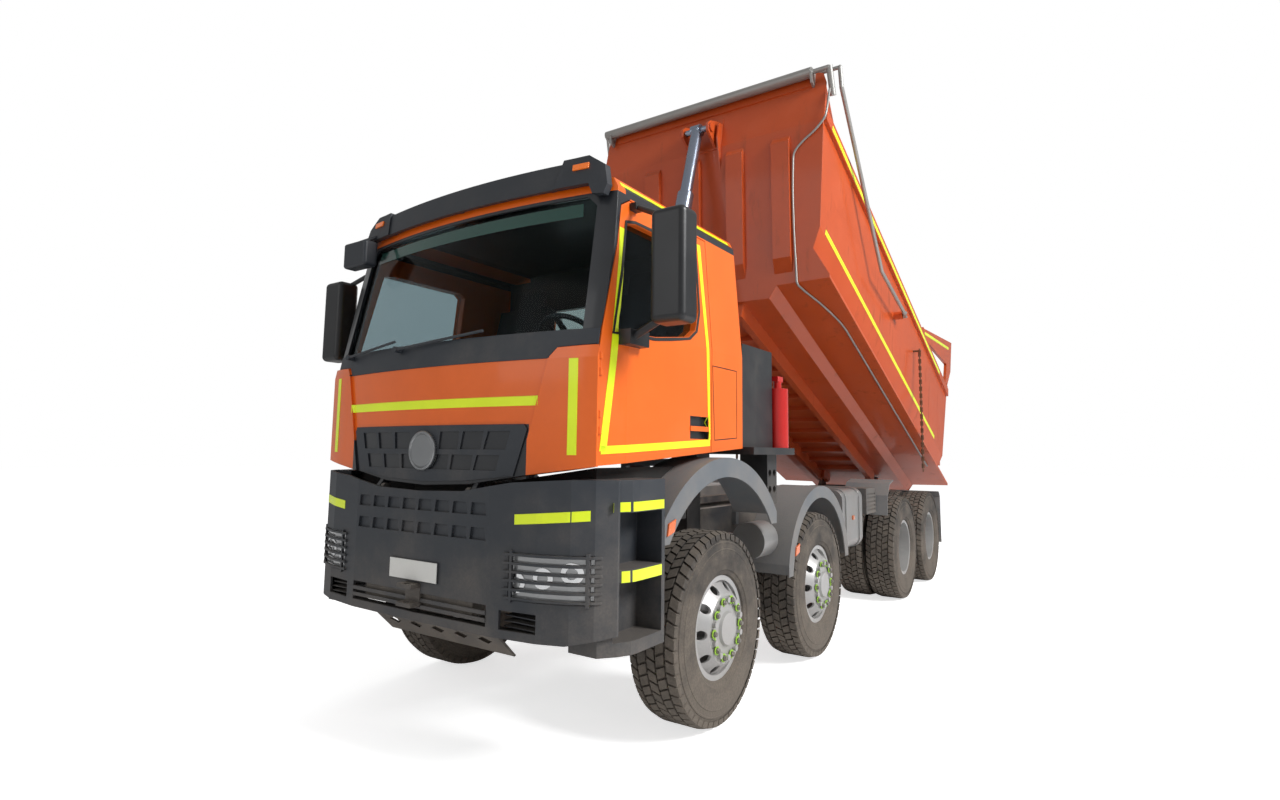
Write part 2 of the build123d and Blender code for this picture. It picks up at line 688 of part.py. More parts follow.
def front_bumper():
    """Bumper shell with pocketed bands, lamp bays, guard bars and a blank plate."""
    seen = prism_y(bumper_outline(), BUMPER_FRONT - 60, BUMPER_BACK)
    wall = prism_z(bumper_band(0, BUMPER_WALL), BUMPER_LOW, BUMPER_CORNER_TOP) & seen
    ledge = prism_z(bumper_band(1, 110), BUMPER_LOW, BUMPER_LOW + 25) & seen
    ledge &= block(-2000, 2000, -3000, STEP_FRONT - 2, 0, 3000)
    body = joined([wall, ledge])
    front = BUMPER_FRONT - 10
    for z, height in ((1290, 62), (1165, 62)):
        for index in range(8):
            x = (index - 3.5) * 138
            pocket = [(x - 58, z), (x + 58, z), (x + 50, z + height), (x - 50, z + height)]
            body -= prism_y(pocket, front, BUMPER_BACK + 10)
    for side in (-1, 1):
        for x0, x1, z0, z1 in (LAMP_BAY, FOG_BAY):
            body -= block(side * x0, side * x1, front, BUMPER_BACK + 10, z0, z1)
    _, half, low, high = LOW_SLOT
    body -= block(-half, half, front, BUMPER_BACK - 60, low, high)
    bars = []
    pocket_back = prism_z(bumper_band(BUMPER_WALL - 1, BUMPER_WALL + 8), 1150, 1365)
    bars.append(pocket_back & block(-580, 580, front, BUMPER_BACK, 1150, 1365))
    for z in (low + 22, low + 58):
        bars.append(block(-half - 1, half + 1, BUMPER_FRONT + 3, BUMPER_FRONT + 13, z, z + 20))
    guard = prism_z(bumper_band(-12, 2), BUMPER_LOW, BUMPER_CORNER_TOP)
    x0, x1, z0, z1 = LAMP_BAY
    for side in (-1, 1):
        for index in range(6):
            z = z0 + 5 + index * 42
            bars.append(guard & block(side * (x0 - 25), side * (x1 + 25), BUMPER_FRONT - 60,
                                      BUMPER_BACK, z, z + 12))
        for x in (x0 + 15, x1 - 30):
            bars.append(guard & block(side * x, side * (x + 14), BUMPER_FRONT - 60, BUMPER_BACK,
                                      z0 - 10, z1 + 10))
    bars.append(block(-PLATE_HALF, PLATE_HALF, BUMPER_FRONT - 6, BUMPER_FRONT + 3,
                      PLATE_Z - PLATE_HEIGHT / 2, PLATE_Z + PLATE_HEIGHT / 2))
    bumper = joined([body] + bars)
    socket = jaw_socket()
    return bumper - socket


def jaw_socket():
    """The hole in the bumper that the front towing jaw comes through."""
    return block(-62, 62, BUMPER_FRONT - 10, BUMPER_BACK, JAW_Z - JAW_MOUTH - 2, JAW_Z + JAW_MOUTH + 2)


def headlights():
    """Two lamp units behind the guard bars."""
    x0, x1, z0, z1 = LAMP_BAY
    body = prism_z(bumper_band(BUMPER_WALL, 75), z0 - 6, z1 + 6)
    return [body & block(side * (x0 - 10), side * (x1 + 5), BUMPER_FRONT - 60, STEP_FRONT - 2,
                         z0 - 6, z1 + 6) for side in (-1, 1)]


def jaw(x0, x1, near, far, z, bore_y):
    """A towing jaw between two walls, its mouth open and bored for a pin."""
    body = block(x0, x1, near, far, z - JAW_MOUTH, z + JAW_MOUTH)
    reach = far - near
    mouth_near = near + (reach * 0.3 if bore_y > (near + far) / 2 else -1)
    mouth_far = far - (reach * 0.3 if bore_y < (near + far) / 2 else -1)
    body -= block(x0 - 1, x1 + 1, mouth_near, mouth_far, z - JAW_MOUTH + JAW_WALL,
                  z + JAW_MOUTH - JAW_WALL)
    return body - rod_z(z - 200, z + 200, (x0 + x1) / 2, bore_y, JAW_BORE)


def towing_gear():
    """Stays from the rails to the bumper, the front towing jaw and the guard plate below."""
    outer = FRAME_HALF + 30
    back = BUMPER_FRONT + BUMPER_WALL + BUMPER_BOW * outer / BUMPER_FLAT + SEAT_CLEARANCE
    low = JAW_Z - JAW_MOUTH - 5
    high = JAW_Z + JAW_MOUTH + 5
    post_y = BUMPER_FRONT + 140
    pieces = []
    for side in (-1, 1):
        pieces.append(block(side * (FRAME_HALF - 1), side * outer, back, FRAME_FRONT - 20, low, high))
        pieces.append(block(side * FRAME_HALF, side * outer, FRAME_FRONT - 21, FRAME_FRONT + 100,
                            low, high))
        pieces.append(block(side * 380, side * (FRAME_HALF + 5), post_y, post_y + 35, BUMPER_LOW - 13,
                            low + 1))
    pieces.append(block(-FRAME_HALF, FRAME_HALF, back, back + 60, low, high))
    pieces.append(block(-outer, outer, back + 59, post_y + 35, low, low + 20))
    pieces.append(jaw(-60, 60, BUMPER_FRONT - JAW_REACH, back + 1, JAW_Z, front_bore_y()))
    return joined(pieces + [skid_plate()])


def front_bore_y():
    """Where the front towing jaw's bore stands."""
    return BUMPER_FRONT - JAW_REACH + JAW_BORE + 6


def rear_bore_y():
    """Where the rear towing jaw's bore stands."""
    return FRAME_REAR + 2 * JAW_REACH - JAW_BORE - 6


def skid_plate():
    """Slanted guard plate under the bumper, with a row of lozenge holes."""
    top = BUMPER_LOW - 2
    y0 = BUMPER_FRONT + 115
    outline = [(y0, top), (y0 + 60, top), (y0 + 60, top - 12), (y0 + 16, top - 12),
               (y0 + 160, SKID_LOW + 6), (y0 + 150, SKID_LOW), (y0, top - 18)]
    plate = prism_x(outline, -520, 520)
    middle = (top + SKID_LOW) / 2
    for index in range(5):
        x = (index - 2) * 190
        hole = [(x - 55, middle), (x, middle - 24), (x + 55, middle), (x, middle + 24)]
        plate -= prism_y(hole, y0 - 20, y0 + 200)
    return plate


def steps():
    """Entry steps ahead of the first wheel, one box each side with two treads cut in."""
    x0 = STEP_INNER
    x1 = STEP_OUTER
    plan = [(x0, STEP_FRONT), (x1 - 105, STEP_FRONT), (x1 - 42, STEP_FRONT + 76),
            (x1 - 5, STEP_FRONT + 144), (x1, STEP_FRONT + 200), (x1, STEP_REAR), (x0, STEP_REAR)]
    box = prism_z(plan, STEP_LOW, STEP_TOP)
    box -= block(x0 - 1, x0 + 90, STEP_FRONT + 20, STEP_REAR - 20, STEP_LOW - 1, STEP_TOP - 20)
    for low, high in ((1045, 1320), (STEP_LOW + 65, 985)):
        box -= block(x0 + 120, x1 + 1, STEP_FRONT + 60, STEP_REAR - 30, low, high)
    stay = block(FRAME_HALF, x0 + 91, -1000, -940, 900, 980)
    left = joined([box, stay])
    return both_sides(left)


def front_arches():
    """Arched mudguards over the two steering axles."""
    left = []
    # y and z of the arch centre, its outer radius, its skirt's depth, where its ends are cut and
    # how far below its top the stay runs
    table = ((30.0, 640.0, 950.0, 120.0, STEP_REAR, 790.0, 1130.0, 62.0),
             (1700.0, 650.0, 707.0, 95.0, 1010.0, 2390.0, 720.0, 130.0))
    outer = STEP_OUTER
    for y, z, radius, skirt, front, rear, low, drop in table:
        ring = rod_x(880, outer, y, z, radius) - rod_x(879, outer - 12, y, z, radius - 12)
        ring -= rod_x(879, outer + 1, y, z, radius - skirt)
        ring &= block(0, 2000, front, rear, low, 3000)
        stay_top = z + radius - drop + 49
        stay = block(FRAME_HALF, 1000, y - 25, y + 25, z + radius - drop, stay_top)
        hanger = block(960, 1000, y - 25, y + 25, stay_top - 49, z + radius - 11)
        post = block(FRAME_HALF, FRAME_HALF + 40, y - 25, y + 25, RAIL_TOP - 100, stay_top)
        left.append(joined([ring, stay, hanger, post]))
    return left


def mudguards():
    """Front arches, quarter guards ahead of the third axle and flaps behind the fourth."""
    x0 = COVE_HALF + 15
    x1 = 1245.0
    wall = 10.0
    quarter = [(3660, 980), (3690, 1180), (3780, 1300), (3940, 1335), (3940, 1345), (3773, 1310),
               (3680, 1187), (3648, 980)]
    left = prism_x(quarter, x0, x1)
    stay = block(FRAME_HALF, x0 + 1, 3720, 3780, 1000, 1060)
    back = block(x0, x0 + wall, 3655, 3939, 1000, 1300) - prism_x([(3600, 1187), (3680, 1187),
                                                                   (3773, 1310), (3600, 1310)], 0, x1)
    left = joined([left, stay, back])
    flap = [(6370, 1120), (6440, 1050), (6460, 420), (6450, 420), (6430, 1046), (6362, 1112)]
    inner = 590.0
    rear = prism_x(flap, inner, x1)
    rear_stay = block(FRAME_HALF, inner + 1, 6380, 6425, 1000, 1050)
    rear = joined([rear, rear_stay, block(inner, inner + wall, 6380, 6436, 1000, 1096)])
    return both_sides(group(*front_arches(), left, rear))


def fuel_tank():
    """Silver tank on the left rail, with its two straps."""
    y0 = 2560.0
    y1 = 3180.0
    x0 = FRAME_HALF + 60
    x1 = 1120.0
    body = block(x0, x1, y0, y1, 720, 1280)
    body = fillet(body.edges().filter_by(Axis.Y), 90)
    return group(body, *tank_straps())


def tank_straps():
    """Straps and brackets that hold the tank on the frame."""
    x0 = FRAME_HALF
    pieces = []
    for y in (2640.0, 3050.0):
        pieces.append(block(x0, x0 + 60, y, y + 50, 840, 1080))
        band = block(x0 + 50, 1132, y, y + 50, 708, 1292)
        band = fillet(band.edges().filter_by(Axis.Y), 100)
        hole = block(x0 + 59.7, 1120.3, y - 1, y + 51, 719.7, 1280.3)
        hole = fillet(hole.edges().filter_by(Axis.Y), 90)
        pieces[-1] = joined([pieces[-1], band - hole])
    return pieces


def battery_box():
    """Grey box with a louvred lid on the left, and the air vessel cradle on the right."""
    x0 = FRAME_HALF
    left = joined([block(x0, 1130, 3300, 3640, 1010, 1270),
                   block(x0, 700, 3300, 3640, 840, 1011)])
    for index in range(5):
        left -= block(1122, 1131, 3320, 3620, 1040 + index * 40, 1056 + index * 40)
    right = block(-1120, -x0, 2500, 3640, 760, 1260)
    return group(left, right)


def air_tanks():
    """Round air vessel between the first two axles, with its strap."""
    x0 = FRAME_HALF
    tanks = []
    for side in (-1, 1):
        shell = rod_y(760, 1000, side * 1010, 990, 130)
        strap = block(side * x0, side * 950, 865, 910, 960, 1020)
        tanks.append(joined([shell, strap]))
    return group(*tanks)


def service_boxes():
    """Tall cabinet behind the cab, and the pressed bracket that carries it."""
    cabinet = block(560, 1110, 470, 980, 1660, 2380)
    cap = rod_z(2380, 2420, 700, 640, 45)
    shelf = block(540, 1200, 460, 1190, 1610, 1660)
    leg = block(900, 1120, 860, 1030, 1250, 1611)
    for z in (1310, 1430):
        leg -= rod_x(899, 1121, 905, z + 45, 26)
        leg -= rod_x(899, 1121, 985, z + 45, 26)
    post = block(FRAME_HALF, 560, 660, 860, 1000, 1611)
    post = joined([post, block(559, 640, 660, 860, 1500, 1611)])
    return joined([cabinet, cap, shelf, leg, post])


def extinguisher():
    """Red extinguisher standing on the cabinet's shelf."""
    bottle = rod_z(1660, 2110, 1110, 1085, 80)
    neck = rod_z(2109, 2170, 1110, 1085, 30)
    head = block(1085, 1135, 1035, 1135, 2165, 2205)
    return joined([bottle, neck, head])


def lamps():
    """Headlamps, side markers and the rear lamp bar with its two boxes."""
    markers = [block(1000, 1030, 1030, 1045, 1340, 1440),
               block(1120, 1132, 2850, 2890, 990, 1030),
               block(-1132, -1120, 2850, 2890, 990, 1030)]
    bar = block(-1100, 1100, FRAME_REAR + 121, FRAME_REAR + 150, 830, 900)
    boxes = []
    for side in (-1, 1):
        boxes.append(block(side * 760, side * 1150, FRAME_REAR + 60, FRAME_REAR + 122, 800, 930))
        boxes.append(block(side * 340, side * 420, FRAME_REAR, FRAME_REAR + 122, 835, 895))
    return group(*headlights(), *markers, joined([bar] + boxes))


def rear_coupling():
    """Rear towing jaw on the last crossmember."""
    return jaw(-60, 60, FRAME_REAR - 5, FRAME_REAR + 2 * JAW_REACH, REAR_JAW_Z, rear_bore_y())


# ---------------------------------------------------------------- cab
def cab_plan(inset, lean):
    """The cab's plan outline: bowed front, round corners, tapering sides, drawn in and leaned."""
    half = CAB_HALF - inset
    front = CAB_FRONT + inset + lean
    bow = CAB_BOW_HALF
    bow_y = front + CAB_SAGITTA
    corner = half - CAB_TAPER
    corner_y = front + CAB_CORNER
    side_y = corner_y + CAB_TAPER_LENGTH
    rear = CAB_REAR - inset
    middle = ((bow + corner) / 2, (bow_y + corner_y) / 2 - CAB_CORNER_BULGE)
    nose = ThreePointArc((-bow, bow_y), (0, front), (bow, bow_y))
    left = ThreePointArc((bow, bow_y), middle, (corner, corner_y))
    body = Polyline((corner, corner_y), (half, side_y), (half, rear), (-half, rear), (-half, side_y),
                    (-corner, corner_y))
    right = ThreePointArc((-corner, corner_y), (-middle[0], middle[1]), (-bow, bow_y))
    return make_face([nose, left, *body.edges(), right])


def cab_section(inset):
    """The cab's cross-section: upright sides, leaning window band and crowned roof."""
    half = CAB_HALF - inset
    roof_half = CAB_ROOF_HALF - inset
    rise = CAB_ROOF - CAB_EAVE
    right = [(half, CAB_LOW - 30), (half, CAB_BELT), (roof_half, CAB_EAVE),
             (roof_half - 30, CAB_EAVE + 0.55 * rise - inset), (roof_half - 300, CAB_ROOF - inset)]
    left = [(-x, z) for x, z in reversed(right)]
    return right + left


def cab_volume(inset, floor):
    """The space inside the cab's skin drawn in by an inset, above a floor height."""
    levels = [(z, lean) for z, lean in ((NOSE_TOP, 0), (COWL_Z, COWL_LEAN), (CAB_ROOF + 5, SCREEN_LEAN))]
    high = loft([Plane.XY.offset(z) * cab_plan(inset, lean) for z, lean in levels], ruled=True)
    shape = high
    if floor < NOSE_TOP:
        shape = high + extrude(Plane.XY.offset(floor) * cab_plan(inset, 0), amount=NOSE_TOP - floor)
    return shape & prism_y(cab_section(inset), -2000, 1000)


def lean_at(z):
    """How far the cab's front has leaned back at a height."""
    if z < NOSE_TOP:
        return 0.0
    if z < COWL_Z:
        return COWL_LEAN * (z - NOSE_TOP) / (COWL_Z - NOSE_TOP)
    return COWL_LEAN + (SCREEN_LEAN - COWL_LEAN) * (z - COWL_Z) / (CAB_ROOF + 5 - COWL_Z)


def front_y(x, z):
    """Where the cab's bowed front stands at a distance from its middle and a height."""
    return CAB_FRONT + lean_at(z) + CAB_SAGITTA * (x / CAB_BOW_HALF) ** 2


def door_edge(z):
    """Where the door's front edge stands at a height, just behind the cab's corner."""
    return DOOR_FRONT + lean_at(z) + DOOR_SETBACK * max(0.0, (z - COWL_Z) / (DOOR_TOP - COWL_Z))


def door_outline(gap):
    """Door outline in Y and Z, opened by a gap all round."""
    low = CAB_LOW - 40
    shoulder = DOOR_TOP - 45
    points = [(DOOR_FRONT, low), (DOOR_REAR, low), (DOOR_REAR + 30, DOOR_TOP),
              (door_edge(shoulder) + 75, DOOR_TOP), (door_edge(shoulder), shoulder),
              (door_edge(COWL_Z), COWL_Z), (DOOR_FRONT, NOSE_TOP)]
    return drawn_in(points, -gap) if gap else points


def window_outline(gap):
    """Door window outline in Y and Z, shrunk by a gap."""
    front = DOOR_FRONT + WINDOW_FRONT
    rear = DOOR_REAR - WINDOW_REAR
    low = WINDOW_LOW
    top = DOOR_TOP - WINDOW_DROP
    points = [(front, low), (front + 345, low + 20), (rear - 140, low + 75), (rear - 50, low + 130),
              (rear, low + 255), (rear + 12, top - 30), (rear - 30, top), (front + 215, top),
              (front + 130, top - 20)]
    return drawn_in(points, gap) if gap else points


def screen_outline(gap):
    """Windscreen outline in X and Z, shrunk by a gap."""
    low = COWL_Z - 5
    top = CAB_EAVE - SCREEN_DROP
    points = [(-SCREEN_HALF_LOW, low), (SCREEN_HALF_LOW, low), (SCREEN_HALF_TOP, top - 60),
              (SCREEN_HALF_TOP - 60, top), (60 - SCREEN_HALF_TOP, top), (-SCREEN_HALF_TOP, top - 60)]
    return drawn_in(points, gap) if gap else points


def rear_window(gap):
    """Rear window outline in X and Z, shrunk by a gap."""
    low = COWL_Z + 100
    top = CAB_EAVE - 270
    points = [(-560, low), (560, low), (540, top), (-540, top)]
    return drawn_in(points, gap) if gap else points


def side_slab(near, far, y0, y1):
    """The left side's skin between two depths, over a stretch of its length."""
    low = CAB_LOW - 30
    high = CAB_ROOF
    lean = (CAB_HALF - CAB_ROOF_HALF) / (CAB_EAVE - CAB_BELT)
    top = CAB_HALF - lean * (high - CAB_BELT)
    points = [(CAB_HALF - near, low), (CAB_HALF - near, CAB_BELT), (top - near, high),
              (top - far, high), (CAB_HALF - far, CAB_BELT), (CAB_HALF - far, low)]
    return prism_y(points, y0, y1)


def below_cab():
    """What lies below the cab's lower edge: it climbs to the corners and to the rear."""
    front = [(-1300, 1300), (1300, 1300), (1300, CAB_SIDE_LOW), (1110, CAB_SIDE_LOW - 5),
             (690, CAB_LOW + 65), (350, CAB_LOW + 15), (0, CAB_LOW), (-350, CAB_LOW + 15),
             (-690, CAB_LOW + 65), (-1110, CAB_SIDE_LOW - 5), (-1300, CAB_SIDE_LOW)]
    side = [(DOOR_FRONT - 5, 1300), (600, 1300), (600, CAB_REAR_LOW + 8), (CAB_REAR, CAB_REAR_LOW),
            (DOOR_FRONT - 5, CAB_SIDE_LOW)]
    return prism_y(front, -1500, CAB_REAR + 100) + prism_x(side, -1300, 1300)


def cab_shell():
    """Hollow cab with its floor, corner covers, door and window openings and its tilt arms."""
    inside = cab_volume(CAB_WALL, CAB_LOW - 40)
    floor = block(-1300, 1300, -1500, 600, CAB_FLOOR_LOW, CAB_FLOOR_TOP)
    shell = cab_volume(0, CAB_LOW - 20) - (inside - floor)
    shell -= block(-CAB_HALF + CAB_WALL, CAB_HALF - CAB_WALL, DOOR_FRONT, CAB_REAR - CAB_WALL, 1300,
                   CAB_FLOOR_LOW)
    shell -= below_cab()
    door_hole = side_slab(-50, DOOR_WALL + DOOR_GAP, -1300, 200) & prism_x(door_outline(DOOR_GAP), 800, 1300)
    shell -= door_hole
    shell -= mirrored(door_hole)
    shell -= prism_y(screen_outline(0), -1500, -700)
    shell -= prism_y(rear_window(0), 200, 600)
    parts = [shell] + corner_covers()
    for side in (-1, 1):
        x0 = side * (FRAME_HALF - 30)
        x1 = side * FRAME_HALF
        # an arm's outline from the pin, y and z
        arm = ((-15, 19), (2, 40), (10, 60), (45, 170), (100, CAB_FLOOR_LOW + 1 - TILT_PIN_Z),
               (300, CAB_FLOOR_LOW + 1 - TILT_PIN_Z), (150, 130), (60, 40), (24, 0))
        plate = prism_x([(TILT_PIN_Y + y, TILT_PIN_Z + z) for y, z in arm], x0, x1)
        plate += rod_x(x0, x1, TILT_PIN_Y, TILT_PIN_Z, TILT_EYE_RADIUS)
        plate -= rod_x(side * 300, side * 500, TILT_PIN_Y, TILT_PIN_Z,
                       TILT_PIN_RADIUS + BEARING_CLEARANCE)
        parts.append(plate)
        for z in HINGE_HEIGHTS:
            leaf = block(side * (DOOR_HINGE_X - 5), side * (DOOR_HINGE_X + 5), DOOR_FRONT - 16,
                         DOOR_HINGE_Y, z - 20, z + 20)
            pin = rod_z(z - 60, z + 60, side * DOOR_HINGE_X, DOOR_HINGE_Y, HINGE_RADIUS)
            parts += [leaf, pin]
    return joined(parts)


def corner_covers():
    """Covers that stand proud of the nose at its two corners."""
    rear = DOOR_FRONT - DOOR_GAP - 2
    skin = cab_volume(-COVER, CAB_LOW) - cab_volume(1, CAB_LOW - 10)
    low = CAB_LOW + 65
    outline = [(690, low), (850, NOSE_TOP), (900, NOSE_TOP + 55), (1200, NOSE_TOP + 65),
               (1200, CAB_SIDE_LOW - 3), (1110, CAB_SIDE_LOW - 3)]
    left = skin & prism_y(outline, CAB_FRONT - 100, rear)
    return [left, left.mirror(Plane.YZ)]


def cab_glass():
    """Windscreen and rear window."""
    skin = cab_volume(18, COWL_Z - 40) - cab_volume(18 + GLASS, COWL_Z - 60)
    screen = skin & prism_y(screen_outline(GLASS_GAP), -1500, -700)
    rear = prism_y(rear_window(GLASS_GAP), CAB_REAR - 30, CAB_REAR - 24)
    return group(screen, rear)


def cab_grille():
    """Upper grille on the cab's nose with a blank disc, the cowl's band and the pillars' covers."""
    low = CAB_LOW + 20
    top = NOSE_TOP - 330
    proud = cab_volume(-8, CAB_LOW - 30) - cab_volume(-SEAT_CLEARANCE, CAB_LOW - 40)
    outline = [(0, low), (350, low + 14), (655, low + 45), (735, top - 25), (715, top), (-715, top),
               (-735, top - 25), (-655, low + 45), (-350, low + 14)]
    frame = proud & prism_y(outline, -1400, -1100)
    # rows of pockets: low and high edge above the frame's foot, half widths at both
    for z0, z1, near, far_low, far_high in ((70, 150, 40, 560, 585), (180, 275, 120, 620, 650)):
        for index in range(3):
            x0 = near + (far_low - near) * index / 3
            x1 = near + (far_low - near) * (index + 1) / 3 - 18
            grow = (far_high - far_low) * (index + 1) / 3
            pocket = [(x0, low + z0), (x1, low + z0), (x1 + grow, low + z1), (x0 + grow, low + z1)]
            for side in (-1, 1):
                hole = prism_y([(side * x, z) for x, z in pocket], -1400, -1100)
                frame -= hole
    disc = rod_y(CAB_FRONT - 16, CAB_FRONT - 7, 0, low + 170, 110)
    skin = cab_volume(-4, CAB_LOW) - cab_volume(-SEAT_CLEARANCE, CAB_LOW - 10)
    cowl = [(-840, NOSE_TOP + 2), (840, NOSE_TOP + 2), (890, NOSE_TOP + 58), (1106, NOSE_TOP + 68),
            (1106, COWL_Z - 6), (-1106, COWL_Z - 6), (-1106, NOSE_TOP + 68), (-890, NOSE_TOP + 58)]
    band = skin & prism_y(cowl, -1400, -1105)
    return group(joined([frame, disc]), band)


def plan_band(near, far, low, high):
    """A wall that follows the cab's leaning front between two insets and two heights."""
    outer = loft([Plane.XY.offset(z) * cab_plan(near, lean_at(z)) for z in (low, high)], ruled=True)
    inner = loft([Plane.XY.offset(z) * cab_plan(far, lean_at(z)) for z in (low - 1, high + 1)],
                 ruled=True)
    return outer - inner


def sun_visor():
    """Visor over the windscreen with its end caps and stays, the ramp mirror and a beacon."""
    low = CAB_EAVE + VISOR_LOW
    high = low + VISOR_HEIGHT
    back = -VISOR_STANDOFF
    face = back - VISOR_DEPTH
    half = VISOR_HALF
    outline = [(-half, low + 15), (-half + 40, low), (half - 40, low), (half, low + 15),
               (half, high - 40), (half - 60, high), (60 - half, high), (-half, high - 40)]
    visor = plan_band(face, back, low, high) & prism_y(outline, -1400, -850)
    cap_low = low - 75
    cap_skin = plan_band(face - 10, back + 2, cap_low, high + 25)
    cap = [(half - 250, low), (half - 210, high + 20), (half - 50, high + 22), (half + 55, high - 50),
           (half + 85, low - 20), (half + 70, cap_low), (half + 5, cap_low + 8), (half - 30, low)]
    left_cap = cap_skin & prism_y(cap, -1400, -850)
    parts = [visor, left_cap, mirrored(left_cap)]
    stays = plan_band(back - 2, -SEAT_CLEARANCE, low + 5, low + 45)
    for x in (-700, 0, 700):
        parts.append(stays & block(x - 15, x + 15, -1400, -850, low, low + 60))
    y = front_y(half - 80, low) + face / 2
    parts.append(rod_between((80 - half, y - 10, low + 30), (30 - half, RAMP_MIRROR_Y, low - 60), 13))
    head = block(-half - 20, -half + 220, RAMP_MIRROR_Y - 45, RAMP_MIRROR_Y + 55, low - 230, low - 60)
    parts.append(fillet(head.edges(), 20))
    beacon = joined([rod_z(CAB_ROOF, CAB_ROOF + 75, BEACON_X, BEACON_Y, 75),
                     rod_z(CAB_ROOF + 74, CAB_ROOF + 155, BEACON_X, BEACON_Y, 62)])
    return group(joined(parts), beacon)


def cab_interior():
    """Two seats, the dashboard and the steering wheel on its column."""
    pieces = []
    for x in (-560.0, 560.0):
        base = block(x - 220, x + 220, -520, -60, CAB_FLOOR_TOP, 2020)
        cushion = block(x - 260, x + 260, -560, -40, 2019, 2150)
        back = prism_x([(-110, 2149), (20, 2149), (130, 2700), (30, 2720)], x - 250, x + 250)
        head = prism_x([(40, 2700), (128, 2690), (150, 2860), (70, 2870)], x - 130, x + 130)
        pieces.append(joined([base, cushion, back, head]))
    dash = prism_x([(-1085, 1760), (-760, 1760), (-700, 2060), (-820, 2190), (-1085, 2195)],
                   -1000, 1000)
    foot = block(-300, 300, -1080, -800, CAB_FLOOR_TOP, 1761)
    column = rod_between((560, -860, 2060), (560, -690, 2260), 35)
    wheel = Plane(origin=(560, -690, 2260), z_dir=(0, 170, 200)) * Torus(215, 16)
    spokes = Plane(origin=(560, -690, 2260), z_dir=(0, 170, 200)) * Box(430, 40, 14)
    pieces.append(joined([dash, foot, column, wheel, spokes]))
    return group(*pieces)


def wipers():
    """Two wiper arms parked on the windscreen, driven from the cowl."""
    found = []
    low = COWL_Z - 30
    high = COWL_Z + 20
    skin = cab_volume(-4 - SEAT_CLEARANCE, NOSE_TOP)
    for x0, x1 in ((-300.0, 420.0), (-880.0, -330.0)):
        y = front_y(x0, low)
        start = (x0, y - 40, low)
        end = (x1, front_y(x1, high) - 40, high)
        spindle = rod_y(y - 52, y + 40, x0, low, 18) - skin
        found.append(joined([spindle, rod_between(start, end, 8)]))
    return group(*found)


# ---------------------------------------------------------------- doors
def door_panel():
    """Left door: hollow behind its skin, window cut, hinge knuckles and a sunk handle."""
    panel = side_slab(0, DOOR_WALL, -1300, 200) & prism_x(door_outline(0), 900, 1300)
    panel &= cab_volume(0, CAB_LOW - 20)
    panel -= below_cab()
    panel -= prism_x(window_outline(0), 900, 1300)
    pocket = [(DOOR_FRONT + 70, CAB_FLOOR_LOW + 60), (DOOR_REAR - 60, CAB_FLOOR_LOW + 80),
              (DOOR_REAR - 60, WINDOW_LOW - 60), (DOOR_FRONT + 70, WINDOW_LOW - 80)]
    panel -= side_slab(DOOR_SKIN + 20, DOOR_WALL + 1, -1300, 200) & prism_x(pocket, 900, 1300)
    knuckles = []
    bore = HINGE_RADIUS + BEARING_CLEARANCE
    for z in HINGE_HEIGHTS:
        panel -= block(DOOR_HINGE_X - 14, 1200, DOOR_FRONT - 20, DOOR_HINGE_Y + 14, z - 24, z + 24)
        for side in (-1, 1):
            knuckles.append(rod_z(z + side * 25, z + side * 56, DOOR_HINGE_X, DOOR_HINGE_Y, 13))
    grip_low = DOOR_GRIP_Z - 60
    panel -= block(CAB_HALF - 28, CAB_HALF + 1, DOOR_REAR - 250, DOOR_REAR - 30, grip_low,
                   grip_low + 135)
    knuckles.append(block(CAB_HALF - 14, CAB_HALF + 6, DOOR_REAR - 251, DOOR_REAR - 29,
                          DOOR_GRIP_Z - 14, DOOR_GRIP_Z + 16))
    panel = joined([panel] + knuckles)
    for z in HINGE_HEIGHTS:
        panel -= rod_z(z - 60.3, z + 60.3, DOOR_HINGE_X, DOOR_HINGE_Y, bore)
    return panel


def door_glass():
    """Window of the left door."""
    depth = DOOR_GLASS_DEPTH
    return side_slab(depth, depth + GLASS, -1300, 200) & prism_x(window_outline(GLASS_GAP), 900, 1300)


def door_mirror():
    """Main mirror of the left door on its two arms."""
    skin = cab_volume(0, NOSE_TOP)
    head = block(1335, 1535, -1040, -885, 2250, 2830)
    head = fillet(head.edges(), 35)
    foot_low = WINDOW_LOW - 65
    low_foot = block(CAB_HALF - 60, CAB_HALF + 60, -1010, -840, foot_low, foot_low + 80) - skin
    low_arm = rod_between((CAB_HALF + 35, -960, foot_low + 40), (1400, -965, 2300), 22)
    foot = block(CAB_ROOF_HALF - 30, CAB_ROOF_HALF + 50, -870, -810, DOOR_TOP - 52, DOOR_TOP - 12) - skin
    top_arm = rod_between((CAB_ROOF_HALF + 36, -840, DOOR_TOP - 30), (1400, -945, 2800), 16)
    return joined([head, low_foot, low_arm, foot, top_arm])


# ---------------------------------------------------------------- bed
def both_halves(right):
    """An outline from its right half, given as X and height above the bed floor."""
    left = [(-x, h) for x, h in reversed(right)]
    return [(x, bed_place(0, h)[1]) for x, h in right + left]


def load_half(top):
    """Right half of the load skin's outer face, carried on past the rim to a height."""
    lean = (RIM_HALF - WAIST_HALF) / (RIM_H - WAIST_H)
    return [(FLOOR_HALF, -BED_WALL), (COVE_HALF, COVE_H), (KNEE_HALF, KNEE_H), (WAIST_HALF, WAIST_H),
            (WAIST_HALF + lean * (top - WAIST_H), top)]


def skirt_corners():
    """Corners of the hollow skirt beside the cove, X and height."""
    return [(COVE_HALF, COVE_H), (LIP_HALF, LIP_H), (LIP_HALF, LIP_H + LIP_HEIGHT), (KNEE_HALF, KNEE_H)]


